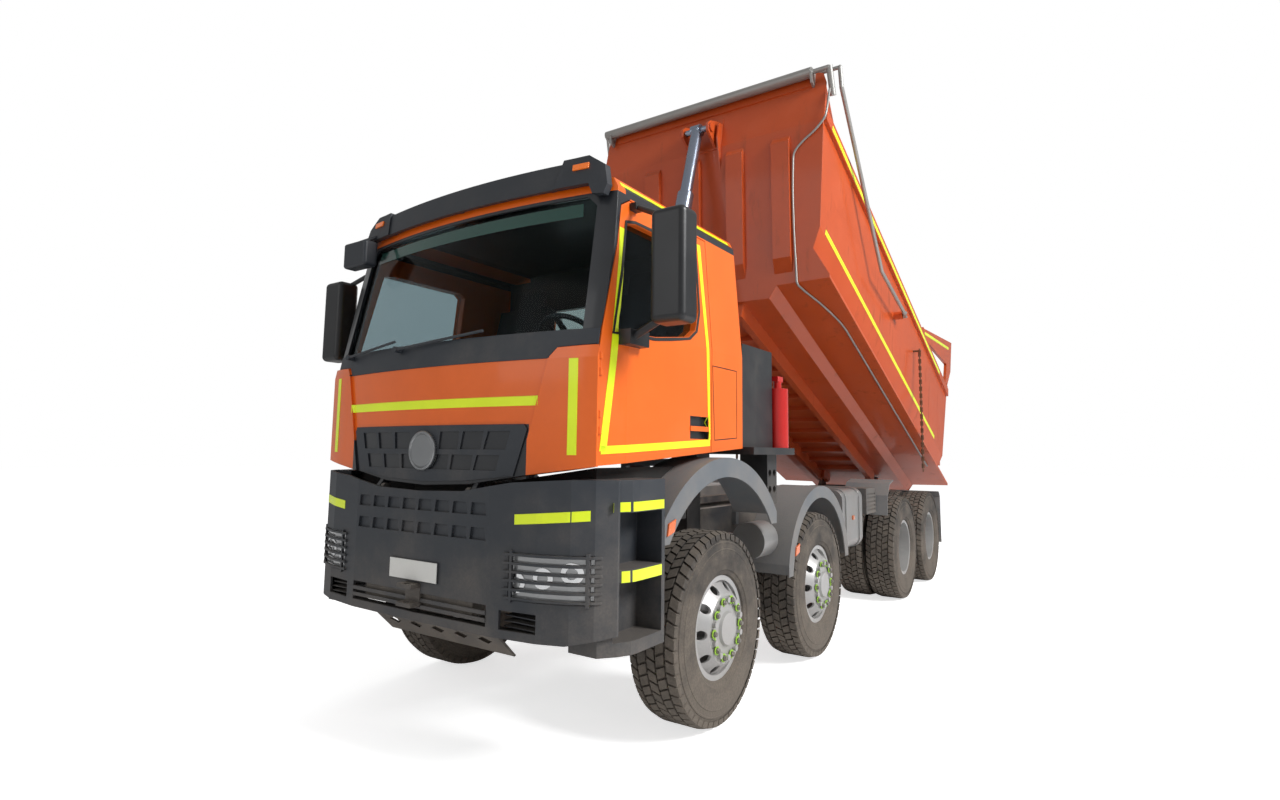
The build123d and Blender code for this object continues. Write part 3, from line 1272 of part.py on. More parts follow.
def shell_half():
    """Right half of the bed's outer outline, skirt included."""
    load = load_half(RIM_H)
    return load[:1] + skirt_corners() + load[3:]


def rear_cut(shift):
    """Everything behind the bed's leaning rear edge, bed down."""
    lean = (REAR_TOP_A - REAR_FOOT_A) / (RIM_H + 10)
    low = -400.0
    high = 2600.0
    foot = REAR_FOOT_A + lean * low + shift
    top = REAR_FOOT_A + lean * high + shift
    return bed_plate([(foot, low), (top, high), (-2000, high), (-2000, low)], -1500, 1500)


def front_face(h):
    """How far forward the front wall's rear face stands at a height: the wall folds once."""
    if h < FOLD_H:
        return FRONT_FOOT_A + (FOLD_A - FRONT_FOOT_A) * h / FOLD_H
    return FOLD_A + (FRONT_TOP_A - FOLD_A) * (h - FOLD_H) / (BOARD_H - FOLD_H)


def wall_plate(low, high, near, far, x0, x1):
    """A plate along the front wall between two heights and two stand-offs from its rear face."""
    heights = [low] + [h for h in (FOLD_H,) if low < h < high] + [high]
    points = [(front_face(h) + near, h) for h in heights]
    points += [(front_face(h) + far, h) for h in reversed(heights)]
    return bed_plate(points, x0, x1)


def bed_tub():
    """The bed's skin: floor, coved sides with hollow skirts and a folded front wall."""
    y0 = bed_place(FRONT_TOP_A + 100, 0)[0]
    y1 = bed_place(-900, 0)[0]
    shell = prism_y(both_halves(shell_half()), y0, y1)
    load = drawn_in(both_halves(load_half(RIM_H + 100)), BED_WALL)
    shell -= prism_y(load, y0 - 1, y1 + 1)
    cavity = drawn_in([(x, bed_place(0, h)[1]) for x, h in skirt_corners()], BED_WALL)
    for side in (-1, 1):
        shell -= prism_y([(side * x, z) for x, z in cavity], y0 - 1, y1 + 1)
    low = -300
    high = 2200
    beyond = bed_plate([(front_face(low), low), (front_face(FOLD_H), FOLD_H), (front_face(high), high),
                        (6500, high), (6500, low)], -1500, 1500)
    shell = shell - beyond - rear_cut(0)
    board = [(BOARD_HALF, RIM_H), (BOARD_HALF, BOARD_H - 150), (BOARD_HALF - 35, BOARD_H - 40),
             (BOARD_HALF - 130, BOARD_H)]
    wall = wall_plate(-BED_WALL, BOARD_H, 0, BED_WALL, -1500, 1500)
    wall &= prism_y(both_halves(shell_half() + board), y0 - 300, y1)
    parts = [shell, wall, wall_plate(BAND_LOW, BOARD_H, BED_WALL - 1, BAND_DEPTH, -BOARD_HALF + 130,
                                     BOARD_HALF - 130)]
    for side in (-1, 1):
        gusset = [(front_face(RIM_H) - 620, RIM_H - 1), (front_face(RIM_H) + 2, RIM_H - 1),
                  (front_face(BOARD_H - 60) + 2, BOARD_H - 60), (front_face(BOARD_H) - 120, BOARD_H - 60)]
        parts.append(bed_plate(gusset, side * (BOARD_HALF - 55), side * (BOARD_HALF - 47)))
    return raised(joined(parts + bed_rails() + front_pressings()))


def rear_a(h):
    """Where the bed's rear edge stands at a height."""
    return REAR_FOOT_A + (REAR_TOP_A - REAR_FOOT_A) * h / (RIM_H + 10)


def bed_rails():
    """Top rails, rear posts, cover-arm pivots and the ears of the tailgate's pivots."""
    parts = []
    top_front = front_face(RIM_H - 50) - 4
    outer = RIM_HALF + RAIL_OUT
    for side in (-1, 1):
        rail = bed_plate([(-400, RIM_H - RAIL_DEPTH), (top_front, RIM_H - RAIL_DEPTH),
                          (top_front, RIM_H + 10), (-400, RIM_H + 10)],
                         side * (RIM_HALF - 9), side * outer)
        lip = bed_plate([(-400, RIM_H - 2), (top_front - 140, RIM_H - 2),
                         (top_front - 140, RIM_H + 10), (-400, RIM_H + 10)],
                        side * (RIM_HALF - 90), side * outer)
        parts += [rail - rear_cut(0), lip - rear_cut(0)]
        y, z = bed_place(ARM_PIVOT_A, ARM_PIVOT_H)
        parts.append(rod_x(side * 1196, side * (ARM_X - 24), y, z, 46))
        parts.append(rod_x(side * 1196, side * (ARM_X + 26), y, z, ARM_PIN_RADIUS))
        for x in (GATE_ARM_X - 30, GATE_ARM_X + GATE_ARM_WALL + 5):
            ear = [(GATE_PIVOT_A - 80, RIM_H + 9), (GATE_PIVOT_A + 80, RIM_H + 9),
                   (GATE_PIVOT_A + 40, GATE_PIVOT_H + 40), (GATE_PIVOT_A - 40, GATE_PIVOT_H + 40)]
            parts.append(bed_plate(ear, side * x, side * (x + 25)))
        y, z = bed_place(GATE_PIVOT_A, GATE_PIVOT_H)
        parts.append(rod_x(side * (GATE_ARM_X - 31), side * (GATE_ARM_X + GATE_ARM_WALL + 31), y, z,
                           HINGE_PIN_RADIUS))
    return parts


def front_pressings():
    """Upright pressings on the front wall and the bracket that takes the hoist's eye."""
    parts = []
    face = BED_WALL - 1
    out = BED_WALL + PRESSING_DEPTH
    low = PRESSING_LOW
    high = PRESSING_HIGH
    for x in (-670, -200, 270, 740):
        rib = [(front_face(low) + face, low), (front_face(high) + face, high),
               (front_face(high - 70) + out, high - 70), (front_face(low + 110) + out, low + 110)]
        parts.append(bed_plate(rib, x, x + PRESSING_WIDTH))
    h = HOIST_TOP_H
    a = front_face(h) + HOIST_STANDOFF
    ear_out = HOIST_EAR_X + HOIST_EAR_WALL
    parts.append(wall_plate(h - 130, h + 200, face, BED_WALL + 10, -ear_out - 6, ear_out + 46))
    for side in (-1, 1):
        ear = [(front_face(h - 120) + face, h - 120), (front_face(h + 190) + face, h + 190),
               (a + 30, h + 62), (a + 62, h), (a + 30, h - 62)]
        parts.append(bed_plate(ear, side * HOIST_EAR_X, side * ear_out))
        y, z = bed_place(a, h)
        parts.append(rod_x(side * (HOIST_EAR_X + 1), side * (ear_out + 18), y, z, 42))
    brace = [(front_face(h - 340) + face, h - 340), (front_face(h + 150) + face, h + 150),
             (front_face(h + 100) + 90, h + 100), (front_face(h - 60) + 90, h - 60)]
    parts.append(bed_plate(brace, ear_out + 30, ear_out + 44))
    return parts


def bed_frame():
    """Long sills under the floor, the ribs between them and the hinge lugs."""
    low = SUBFRAME_TOP + BED_DOWN_GAP - bed_place(0, 0)[1]
    sill_end = FRONT_FOOT_A - 20
    parts = []
    for side in (-1, 1):
        x0 = side * SUBFRAME_INNER
        x1 = side * (FRAME_HALF - 5)
        sill = [(190, low), (sill_end, low), (sill_end, -BED_WALL), (190, -BED_WALL)]
        parts.append(bed_plate(sill, x0, x1))
        lug = [(HINGE_A - 50, -BED_WALL), (HINGE_A - 50, -FLOOR_RISE), (HINGE_A, -FLOOR_RISE - 50),
               (HINGE_A + 60, -FLOOR_RISE - 30), (260, low + 30), (260, -BED_WALL)]
        parts.append(bed_plate(lug, side * (SUBFRAME_INNER - 45), side * (SUBFRAME_INNER + 14)))
        parts.append(rod_x(side * (SUBFRAME_INNER - 44), side * (FRAME_HALF + 12), HINGE_Y, HINGE_Z,
                           HINGE_PIN_RADIUS))
    rib_low = bed_place(0, -60)[1]
    rib_top = bed_place(0, -BED_WALL)[1]
    half = SUBFRAME_INNER + 1
    for index in range(int((sill_end - 420) / RIB_PITCH)):
        y = bed_place(420 + index * RIB_PITCH, 0)[0]
        parts.append(block(-half, half, y - 30, y + 30, rib_low, rib_top))
    return raised(joined(parts))


def tailgate():
    """Leaning gate with its ribs, top beam and the two long arms that carry it."""
    near = 6.0
    far = near + GATE_WALL
    low = GATE_LOW
    high = GATE_TOP
    plate = bed_plate([(rear_a(low) - near, low), (rear_a(high) - near, high),
                       (rear_a(high) - far, high), (rear_a(low) - far, low)], -RIM_HALF, RIM_HALF)
    y0 = bed_place(500, 0)[0]
    y1 = bed_place(-1500, 0)[0]
    outline = both_halves([(FLOOR_HALF, low), (COVE_HALF, COVE_H), (KNEE_HALF, KNEE_H),
                           (WAIST_HALF, WAIST_H), (RIM_HALF, RIM_H), (RIM_HALF, high)])
    parts = [plate & prism_y(outline, y0, y1)]
    # heights of the cross beams, their depth and half width
    for h, depth, half in ((20.0, 70.0, 690.0), (780.0, 80.0, 1150.0), (high - 100, 110.0, 1235.0)):
        beam = [(rear_a(h) - far + 1, h), (rear_a(h + 100) - far + 1, h + 100),
                (rear_a(h + 100) - far - depth, h + 100), (rear_a(h) - far - depth, h)]
        parts.append(bed_plate(beam, -half, half))
    for x in (-1130, -640, -45, 550, 1040):
        h0 = 20 if abs(x + 45) < 640 else KNEE_H + 60
        rib = [(rear_a(h0) - far + 1, h0), (rear_a(high - 10) - far + 1, high - 10),
               (rear_a(high - 10) - far - 90, high - 10), (rear_a(h0) - far - 90, h0)]
        parts.append(bed_plate(rib, x, x + 90))
    foot = high - 30
    for side in (-1, 1):
        arm = [(GATE_PIVOT_A, GATE_PIVOT_H - 55), (GATE_PIVOT_A, GATE_PIVOT_H + 60),
               (GATE_TIP_A, GATE_TIP_TOP), (GATE_TIP_A - 10, GATE_TIP_LOW),
               (rear_a(foot) - far - 105, foot), (rear_a(foot) - far - 10, foot),
               (GATE_TIP_A + 300, GATE_TIP_LOW - 30)]
        x0 = side * GATE_ARM_X
        x1 = side * (GATE_ARM_X + GATE_ARM_WALL)
        bar = bed_plate(arm, x0, x1)
        y, z = bed_place(GATE_PIVOT_A, GATE_PIVOT_H)
        bar += rod_x(x0, x1, y, z, 58)
        bar -= rod_x(side * 1000, side * 1400, y, z, HINGE_PIN_RADIUS + BEARING_CLEARANCE)
        parts.append(bar)
    return raised(joined(parts))


def cover_bar_h():
    """How high the cover's cross bar rests, just above the front board."""
    return BOARD_H + ARM_BAR_CLEAR + ARM_RADIUS


def cover_arms():
    """Two bent tubes with a bar across them, which draw the load cover back."""
    parts = []
    pivot = bed_place(ARM_PIVOT_A, ARM_PIVOT_H)
    bend = bed_place(ARM_BEND_A, ARM_BEND_H)
    head = bed_place(ARM_HEAD_A, ARM_HEAD_H)
    end = bed_place(ARM_BAR_A, cover_bar_h())
    for side in (-1, 1):
        x = side * ARM_X
        for start, finish in ((pivot, bend), (bend, head), (head, end)):
            parts.append(rod_between((x, *start), (x, *finish), ARM_RADIUS))
        for y, z in (bend, head, end):
            parts.append(Pos(x, y, z) * Sphere(ARM_RADIUS))
        parts.append(rod_x(side * (ARM_X - 18), side * (ARM_X + 18), *pivot, 38))
    parts.append(rod_x(-ARM_X, ARM_X, *end, ARM_RADIUS - 2))
    arms = joined(parts)
    for side in (-1, 1):
        arms -= rod_x(side * (ARM_X - 40), side * (ARM_X + 40), *pivot,
                      ARM_PIN_RADIUS + BEARING_CLEARANCE)
    return raised(arms)


def cover_roll():
    """Rolled load cover along the front board, its drive unit, brackets and clipped cable."""
    roll_a = front_face(ROLL_H) + BAND_DEPTH + ROLL_CLEAR + ROLL_RADIUS
    y, z = bed_place(roll_a, ROLL_H)
    end = BOARD_HALF + 38
    drive_top = (end, *bed_place(roll_a, ROLL_H + 20))
    drive_low = (end, *bed_place(front_face(DRIVE_LOW_H) - 75, DRIVE_LOW_H))
    parts = [rod_x(-BOARD_HALF, BOARD_HALF - 120, y, z, ROLL_RADIUS), rod_x(BOARD_HALF - 121, end, y, z, 22),
             rod_between(drive_low, drive_top, 29)]
    for x in (-BOARD_HALF + 60, BOARD_HALF - 130):
        plate = [(front_face(ROLL_H - 50) + BED_WALL, ROLL_H - 50), (front_face(ROLL_H + 50) + BED_WALL,
                                                                     ROLL_H + 50),
                 (roll_a + 20, ROLL_H + 30), (roll_a + 40, ROLL_H - 40),
                 (front_face(ROLL_H - 110) + 70, ROLL_H - 110),
                 (front_face(ROLL_H - 110) + BED_WALL, ROLL_H - 110)]
        bracket = bed_plate(plate, x, x + 20)
        parts.append(bracket - wall_plate(BAND_LOW - 1, BOARD_H, 0, BAND_DEPTH, -BOARD_HALF + 130,
                                          BOARD_HALF - 130))
    slant = hypot(FOLD_A - FRONT_FOOT_A, FOLD_H) / FOLD_H
    stand = BED_WALL + (CABLE_RADIUS + 0.5) * slant
    # down the wall: across it (x), up it (h) and how far off it
    wall_route = ((end, DRIVE_LOW_H - 10, 0), (end, DRIVE_LOW_H - 220, 25), (end - 15, 1420, 25),
                  (1150, 1340, 8), (1060, 1300, 0), (950, 1215, 0), (935, 900, 0), (940, 500, 0),
                  (955, 175, 0))
    points = [(x, *bed_place(front_face(h) + stand + off, h)) for x, h, off in wall_route]
    # under the skirt's floor: across (x) and along it (a)
    under_h = COVE_H - CABLE_RADIUS - 1
    points.append((958, *bed_place(front_face(under_h) + stand + 9, under_h + 8)))
    points.append((966, *bed_place(front_face(under_h) + BED_WALL - 4, under_h - 14)))
    floor_route = ((985, FRONT_FOOT_A - 90), (1060, FRONT_FOOT_A - 330), (CABLE_X, FRONT_FOOT_A - 700),
                   (CABLE_X + 5, 2400), (CABLE_X, CABLE_END_A))
    points += [(x, *bed_place(a, under_h)) for x, a in floor_route]
    return raised(group(joined(parts), cable(points)))


def cable(points):
    """A round cable through points, its corners turned by arcs as large as they allow."""
    kept = [Vector(*points[0])]
    for before, here, after in zip(points, points[1:], points[2:]):
        turn = (Vector(*here) - Vector(*before)).get_angle(Vector(*after) - Vector(*here))
        if turn > 0.5:
            kept.append(Vector(*here))
    kept.append(Vector(*points[-1]))
    radii = []
    for before, here, after in zip(kept, kept[1:], kept[2:]):
        turn = radians((here - before).get_angle(after - here))
        run = min((here - before).length, (after - here).length)
        radii.append(0.45 * run / tan(turn / 2))
    path = FilletPolyline(*kept, radius=radii)
    plane = Plane(origin=path @ 0, z_dir=path % 0)
    return sweep(plane * Circle(CABLE_RADIUS), path=path)


def chains():
    """Check chains that hang at the bed's sides, links crossed in turn."""
    found = []
    y, z = rest_place(CHAIN_A, CHAIN_H)
    count = int(CHAIN_LENGTH / CHAIN_PITCH)
    for side in (-1, 1):
        x = side * CHAIN_X
        parts = [rod_x(side * CHAIN_STUD, side * (CHAIN_X + LINK_WIDTH / 2), y, z, 13)]
        for index in range(count):
            low = z - index * CHAIN_PITCH - LINK_LENGTH / 2
            wide = LINK_WIDTH / 2 if index % 2 else LINK_WALL / 2
            deep = LINK_WALL / 2 if index % 2 else LINK_WIDTH / 2
            parts.append(block(x - wide, x + wide, y - deep, y + deep, low, low + LINK_LENGTH))
        found.append(joined(parts))
    return group(*found)


# ---------------------------------------------------------------- hoist
def hoist_line():
    """Foot, head and length of the hoist at the bed's rest angle."""
    y, z = rest_place(front_face(HOIST_TOP_H) + HOIST_STANDOFF, HOIST_TOP_H)
    return (HOIST_BASE_Y, HOIST_BASE_Z), (y, z), hypot(y - HOIST_BASE_Y, z - HOIST_BASE_Z)


def on_hoist(shape):
    """A shape built upright from the hoist's foot, leaned to the hoist's rest line."""
    (y0, z0), (y1, z1), _ = hoist_line()
    lean = degrees(atan2(y1 - y0, z1 - z0))
    return Pos(0, y0, z0) * Rot(-lean, 0, 0) * shape


def tube(radius, bore, low, high):
    """A round tube standing on the hoist's line."""
    return rod_z(low, high, 0, 0, radius) - rod_z(low - 1, high + 1, 0, 0, bore)


def hoist_pull():
    """How far each of the hoist's three moving stages stands out at rest."""
    return (hoist_line()[2] - HOIST_CLOSED) / 3


def hoist_tube_top():
    """How high the tubes' tops stand on the hoist's line when it is closed."""
    return HOIST_CLOSED - HOIST_HEAD


def hoist_barrel():
    """Outer tube with the trunnion foot that the hoist swings on."""
    bore = HOIST_STAGE_1_RADIUS + HOIST_GAP
    top = hoist_tube_top()
    body = tube(HOIST_BARREL_RADIUS, bore, HOIST_FOOT, top)
    foot = block(-118, 118, -60, 60, 0, HOIST_FOOT + 1)
    foot += rod_x(-118, 118, 0, 0, 60)
    pins = rod_x(-160, 160, 0, 0, HOIST_PIN_RADIUS)
    collar = tube(HOIST_BARREL_RADIUS + HOIST_COLLAR, bore, top - 60, top)
    return on_hoist(joined([body, foot, pins, collar]))


def hoist_stage_1():
    """First moving tube."""
    out = hoist_pull() + HOIST_STEP
    return on_hoist(tube(HOIST_STAGE_1_RADIUS, HOIST_STAGE_2_RADIUS + HOIST_GAP, HOIST_FOOT + out,
                         hoist_tube_top() + out))


def hoist_stage_2():
    """Second moving tube."""
    out = 2 * (hoist_pull() + HOIST_STEP)
    return on_hoist(tube(HOIST_STAGE_2_RADIUS, HOIST_ROD_RADIUS + HOIST_GAP, HOIST_FOOT + out,
                         hoist_tube_top() + out))


def hoist_rod():
    """Last stage: the rod, its eye and the pin that stays in the eye."""
    out = 3 * (hoist_pull() + HOIST_STEP)
    top = hoist_line()[2]
    rod = rod_z(HOIST_FOOT + out, top - 20, 0, 0, HOIST_ROD_RADIUS)
    eye = rod_x(-HOIST_EYE_HALF, HOIST_EYE_HALF, 0, top, HOIST_EYE_RADIUS)
    half = HOIST_EAR_X - HOIST_PIN_PLAY
    pin = rod_x(-half, half, 0, top, HOIST_PIN_RADIUS)
    return on_hoist(joined([rod, eye, pin]))


# ---------------------------------------------------------------- whole truck
def build_all():
    """Every node's shape, by its name, still measured from the first axle."""
    nodes = {
        "chassis_frame": chassis_frame(),
        "bed_subframe": bed_subframe(),
        "engine_block": engine_block(),
        "driveline": driveline(),
        "front_axles": front_axles(),
        "rear_axles": rear_axles(),
        "springs": springs(),
        "front_bumper": front_bumper(),
        "towing_gear": towing_gear(),
        "rear_coupling": rear_coupling(),
        "steps": steps(),
        "mudguards": mudguards(),
        "fuel_tank": fuel_tank(),
        "side_boxes": battery_box(),
        "air_tanks": air_tanks(),
        "service_cabinet": service_boxes(),
        "extinguisher": extinguisher(),
        "lamps": lamps(),
        "cab_shell": cab_shell(),
        "cab_glass": cab_glass(),
        "cab_grille": cab_grille(),
        "sun_visor": sun_visor(),
        "cab_interior": cab_interior(),
        "wipers": wipers(),
        "bed_tub": bed_tub(),
        "bed_frame": bed_frame(),
        "tailgate": tailgate(),
        "cover_arms": cover_arms(),
        "cover_roll": cover_roll(),
        "chains": chains(),
        "hoist_barrel": hoist_barrel(),
        "hoist_stage_1": hoist_stage_1(),
        "hoist_stage_2": hoist_stage_2(),
        "hoist_rod": hoist_rod(),
    }
    door_pieces = {"door": door_panel(), "door_glass": door_glass(), "mirror": door_mirror()}
    wheel_pieces = {"knuckle": (knuckle(), 0), "tyre": (tyre(0), FRONT_WHEEL_X),
                    "rim": (single_rim(), FRONT_WHEEL_X)}
    pair_pieces = {"tyres": group(tyre(0), tyre(-TWIN_PITCH)), "rims": twin_rims()}
    for name, side in (("left", 1), ("right", -1)):
        for piece, shape in door_pieces.items():
            nodes[f"{piece}_{name}"] = shape if side > 0 else mirrored(shape)
        for axle in (0, 1):
            for piece, (shape, x) in wheel_pieces.items():
                nodes[f"{piece}_{axle + 1}_{name}"] = placed_wheel(shape, side, x, axle)
        for axle in (2, 3):
            for piece, shape in pair_pieces.items():
                nodes[f"{piece}_{axle + 1}_{name}"] = placed_wheel(shape, side, TWIN_OUTER_X, axle)
    return nodes


def origin_shift(nodes):
    """How far back everything moves so that the origin is under the middle of the truck."""
    boxes = [shape.bounding_box() for shape in nodes.values()]
    return -(min(box.min.Y for box in boxes) + max(box.max.Y for box in boxes)) / 2


NODES = build_all()
ORIGIN_SHIFT = origin_shift(NODES)
os.makedirs("parts", exist_ok=True)
for node, shape in NODES.items():
    export_step(group(*[Pos(0, ORIGIN_SHIFT, 0) * solid for solid in shape.solids()]),
                f"parts/{node}.step")
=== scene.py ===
import math

import bmesh
import bpy
from mathutils import Matrix, Vector
from mathutils.bvhtree import BVHTree


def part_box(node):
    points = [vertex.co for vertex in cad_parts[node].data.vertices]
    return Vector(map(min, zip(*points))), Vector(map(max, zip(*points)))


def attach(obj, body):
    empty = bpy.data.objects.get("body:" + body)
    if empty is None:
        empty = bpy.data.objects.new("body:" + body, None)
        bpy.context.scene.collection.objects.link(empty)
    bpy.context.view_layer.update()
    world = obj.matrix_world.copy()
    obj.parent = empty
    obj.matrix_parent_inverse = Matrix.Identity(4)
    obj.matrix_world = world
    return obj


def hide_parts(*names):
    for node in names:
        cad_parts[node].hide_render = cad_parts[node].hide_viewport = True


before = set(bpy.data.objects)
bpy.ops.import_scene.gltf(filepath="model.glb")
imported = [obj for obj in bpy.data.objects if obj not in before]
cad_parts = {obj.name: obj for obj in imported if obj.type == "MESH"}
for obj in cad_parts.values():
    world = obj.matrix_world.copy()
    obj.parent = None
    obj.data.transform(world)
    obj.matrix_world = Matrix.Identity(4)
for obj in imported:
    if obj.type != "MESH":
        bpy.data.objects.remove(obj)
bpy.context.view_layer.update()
axle_low, axle_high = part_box("tyre_1_left")
AXLE_Y = (axle_low.y + axle_high.y) / 2

# ------------------------------------------------------------------ studio
# A white floor that runs out of sight, a soft key lamp high on the truck's left, and two
# weaker lamps ahead and behind. The camera stands by the truck's left front corner.
scene = bpy.context.scene
scene.view_settings.view_transform = "Standard"

camera_data = bpy.data.cameras.new("camera")
camera_data.sensor_width = 36.0
camera_data.lens = 18.982
camera_data.shift_x = -0.00748
camera_data.shift_y = -0.01517
camera_data.clip_end = 200.0
# the camera's place, with its Y counted from the first axle, and its turns in radians
CAMERA_PLACE = (3.1608, -3.7544, 1.6174)
camera = bpy.data.objects.new("camera", camera_data)
scene.collection.objects.link(camera)
scene.camera = camera
yaw, pitch, roll = -0.589, 0.106, 0.010
look = Vector((math.sin(yaw) * math.cos(pitch), math.cos(yaw) * math.cos(pitch), math.sin(pitch)))
across = look.cross(Vector((0, 0, 1))).normalized()
up = across.cross(look)
right = math.cos(roll) * across + math.sin(roll) * up
above = math.cos(roll) * up - math.sin(roll) * across
turn = Matrix((right, above, -look)).transposed()
stand = Vector((CAMERA_PLACE[0], AXLE_Y + CAMERA_PLACE[1], CAMERA_PLACE[2]))
camera.matrix_world = Matrix.Translation(stand) @ turn.to_4x4()


def area_lamp(name, place, target, size, watts):
    """A square lamp at a place, aimed at a target."""
    data = bpy.data.lights.new(name, "AREA")
    data.size = size
    data.energy = watts
    lamp = bpy.data.objects.new(name, data)
    scene.collection.objects.link(lamp)
    aim = (Vector(target) - Vector(place)).to_track_quat("-Z", "Y")
    lamp.matrix_world = Matrix.Translation(place) @ aim.to_matrix().to_4x4()


area_lamp("key_lamp", (11.0, -2.0, 9.0), (0.0, -1.0, 1.8), 4.0, 1750.0)
area_lamp("front_lamp", (-3.0, -14.0, 6.0), (0.0, -2.0, 1.8), 6.0, 150.0)
area_lamp("back_lamp", (-6.0, 12.0, 7.0), (0.0, 0.0, 2.0), 6.0, 450.0)

# the sky's strength as light, and the floor's own light where the camera sees it
SKY_LIGHT = 0.38
FLOOR_GLOW = 0.68
world = bpy.data.worlds.new("sky")
scene.world = world
world.use_nodes = True
sky = world.node_tree
sky.nodes.clear()
seen = sky.nodes.new("ShaderNodeLightPath")
either = sky.nodes.new("ShaderNodeMath")
either.operation = "MAXIMUM"
sky.links.new(seen.outputs["Is Camera Ray"], either.inputs[0])
sky.links.new(seen.outputs["Is Transmission Ray"], either.inputs[1])
strength = sky.nodes.new("ShaderNodeMapRange")
strength.inputs["To Min"].default_value = SKY_LIGHT
strength.inputs["To Max"].default_value = 1.0
sky.links.new(either.outputs[0], strength.inputs["Value"])
backdrop = sky.nodes.new("ShaderNodeBackground")
backdrop.inputs["Color"].default_value = (1.0, 1.0, 1.0, 1.0)
sky.links.new(strength.outputs["Result"], backdrop.inputs["Strength"])
sky_out = sky.nodes.new("ShaderNodeOutputWorld")
sky.links.new(backdrop.outputs[0], sky_out.inputs["Surface"])


def new_material(name):
    """A material with an empty node tree, and its Principled shader wired to the output."""
    material = bpy.data.materials.new(name)
    material.use_nodes = True
    tree = material.node_tree
    tree.nodes.clear()
    output = tree.nodes.new("ShaderNodeOutputMaterial")
    shader = tree.nodes.new("ShaderNodeBsdfPrincipled")
    tree.links.new(shader.outputs["BSDF"], output.inputs["Surface"])
    return material, tree, shader


def mesh_object(name, verts, faces, material=None, smooth=False):
    """A mesh object from plain lists, in the frame's own metres."""
    mesh = bpy.data.meshes.new(name)
    mesh.from_pydata([tuple(v) for v in verts], [], faces)
    mesh.validate()
    tidy = bmesh.new()
    tidy.from_mesh(mesh)
    bmesh.ops.recalc_face_normals(tidy, faces=tidy.faces)
    tidy.to_mesh(mesh)
    tidy.free()
    if smooth:
        mesh.shade_smooth()
    piece = bpy.data.objects.new(name, mesh)
    scene.collection.objects.link(piece)
    if material:
        mesh.materials.append(material)
    return piece


FLOOR_HALF = 60.0
floor_verts = [(-FLOOR_HALF, -FLOOR_HALF, 0), (FLOOR_HALF, -FLOOR_HALF, 0),
               (FLOOR_HALF, FLOOR_HALF, 0), (-FLOOR_HALF, FLOOR_HALF, 0)]
floor_paint, floor_tree, floor_shader = new_material("studio_floor")
floor_shader.inputs["Base Color"].default_value = (0.9, 0.9, 0.9, 1.0)
floor_shader.inputs["Roughness"].default_value = 0.9
floor_shader.inputs["Specular IOR Level"].default_value = 0.0
floor_seen = floor_tree.nodes.new("ShaderNodeLightPath")
floor_glow = floor_tree.nodes.new("ShaderNodeMath")
floor_glow.operation = "MULTIPLY"
floor_glow.inputs[1].default_value = FLOOR_GLOW
floor_tree.links.new(floor_seen.outputs["Is Camera Ray"], floor_glow.inputs[0])
floor_tree.links.new(floor_glow.outputs[0], floor_shader.inputs["Emission Strength"])
floor_shader.inputs["Emission Color"].default_value = (1.0, 1.0, 1.0, 1.0)
floor = mesh_object("studio_floor", floor_verts, [(0, 1, 2, 3)], floor_paint)


# ------------------------------------------------------------------ chassis steel
# Rails, axles and brackets are painted or cast dark and carry road dust, thickest low
# down and on what faces up. The dust is one effect that every finish below uses.
def group_socket(group, name, kind, is_input, value=None):
    """One named input or output of a shader node group."""
    socket = group.interface.new_socket(name=name, in_out="INPUT" if is_input else "OUTPUT",
                                        socket_type=kind)
    if value is not None:
        socket.default_value = value
    return socket


def math_node(tree, operation, first, second, clamp=False):
    """A math node whose two inputs are sockets or numbers; returns its output."""
    node = tree.nodes.new("ShaderNodeMath")
    node.operation = operation
    node.use_clamp = clamp
    for index, value in enumerate((first, second)):
        if isinstance(value, (int, float)):
            node.inputs[index].default_value = value
        else:
            tree.links.new(value, node.inputs[index])
    return node.outputs[0]


def ramp_node(tree, value, low, high, to_low=0.0, to_high=1.0, smooth=False):
    """Maps a socket from one range to another; returns the output."""
    node = tree.nodes.new("ShaderNodeMapRange")
    if smooth:
        node.interpolation_type = "SMOOTHSTEP"
    tree.links.new(value, node.inputs["Value"])
    for name, number in (("From Min", low), ("From Max", high),
                         ("To Min", to_low), ("To Max", to_high)):
        if isinstance(number, (int, float)):
            node.inputs[name].default_value = number
        else:
            tree.links.new(number, node.inputs[name])
    return node.outputs[0]


def mix_node(tree, factor, first, second):
    """Mixes two colours, each a socket or a colour, by a factor socket; returns the output."""
    node = tree.nodes.new("ShaderNodeMix")
    node.data_type = "RGBA"
    tree.links.new(factor, node.inputs["Factor"])
    for name, value in (("A", first), ("B", second)):
        if isinstance(value, tuple):
            node.inputs[name].default_value = value
        else:
            tree.links.new(value, node.inputs[name])
    return node.outputs["Result"]


def noise_node(tree, vector, scale, detail, rough=0.5):
    """A cloud texture at a scale, a number or a socket; returns its factor."""
    node = tree.nodes.new("ShaderNodeTexNoise")
    node.inputs["Detail"].default_value = detail
    node.inputs["Roughness"].default_value = rough
    tree.links.new(vector, node.inputs["Vector"])
    if isinstance(scale, (int, float)):
        node.inputs["Scale"].default_value = scale
    else:
        tree.links.new(scale, node.inputs["Scale"])
    return node.outputs["Fac"]


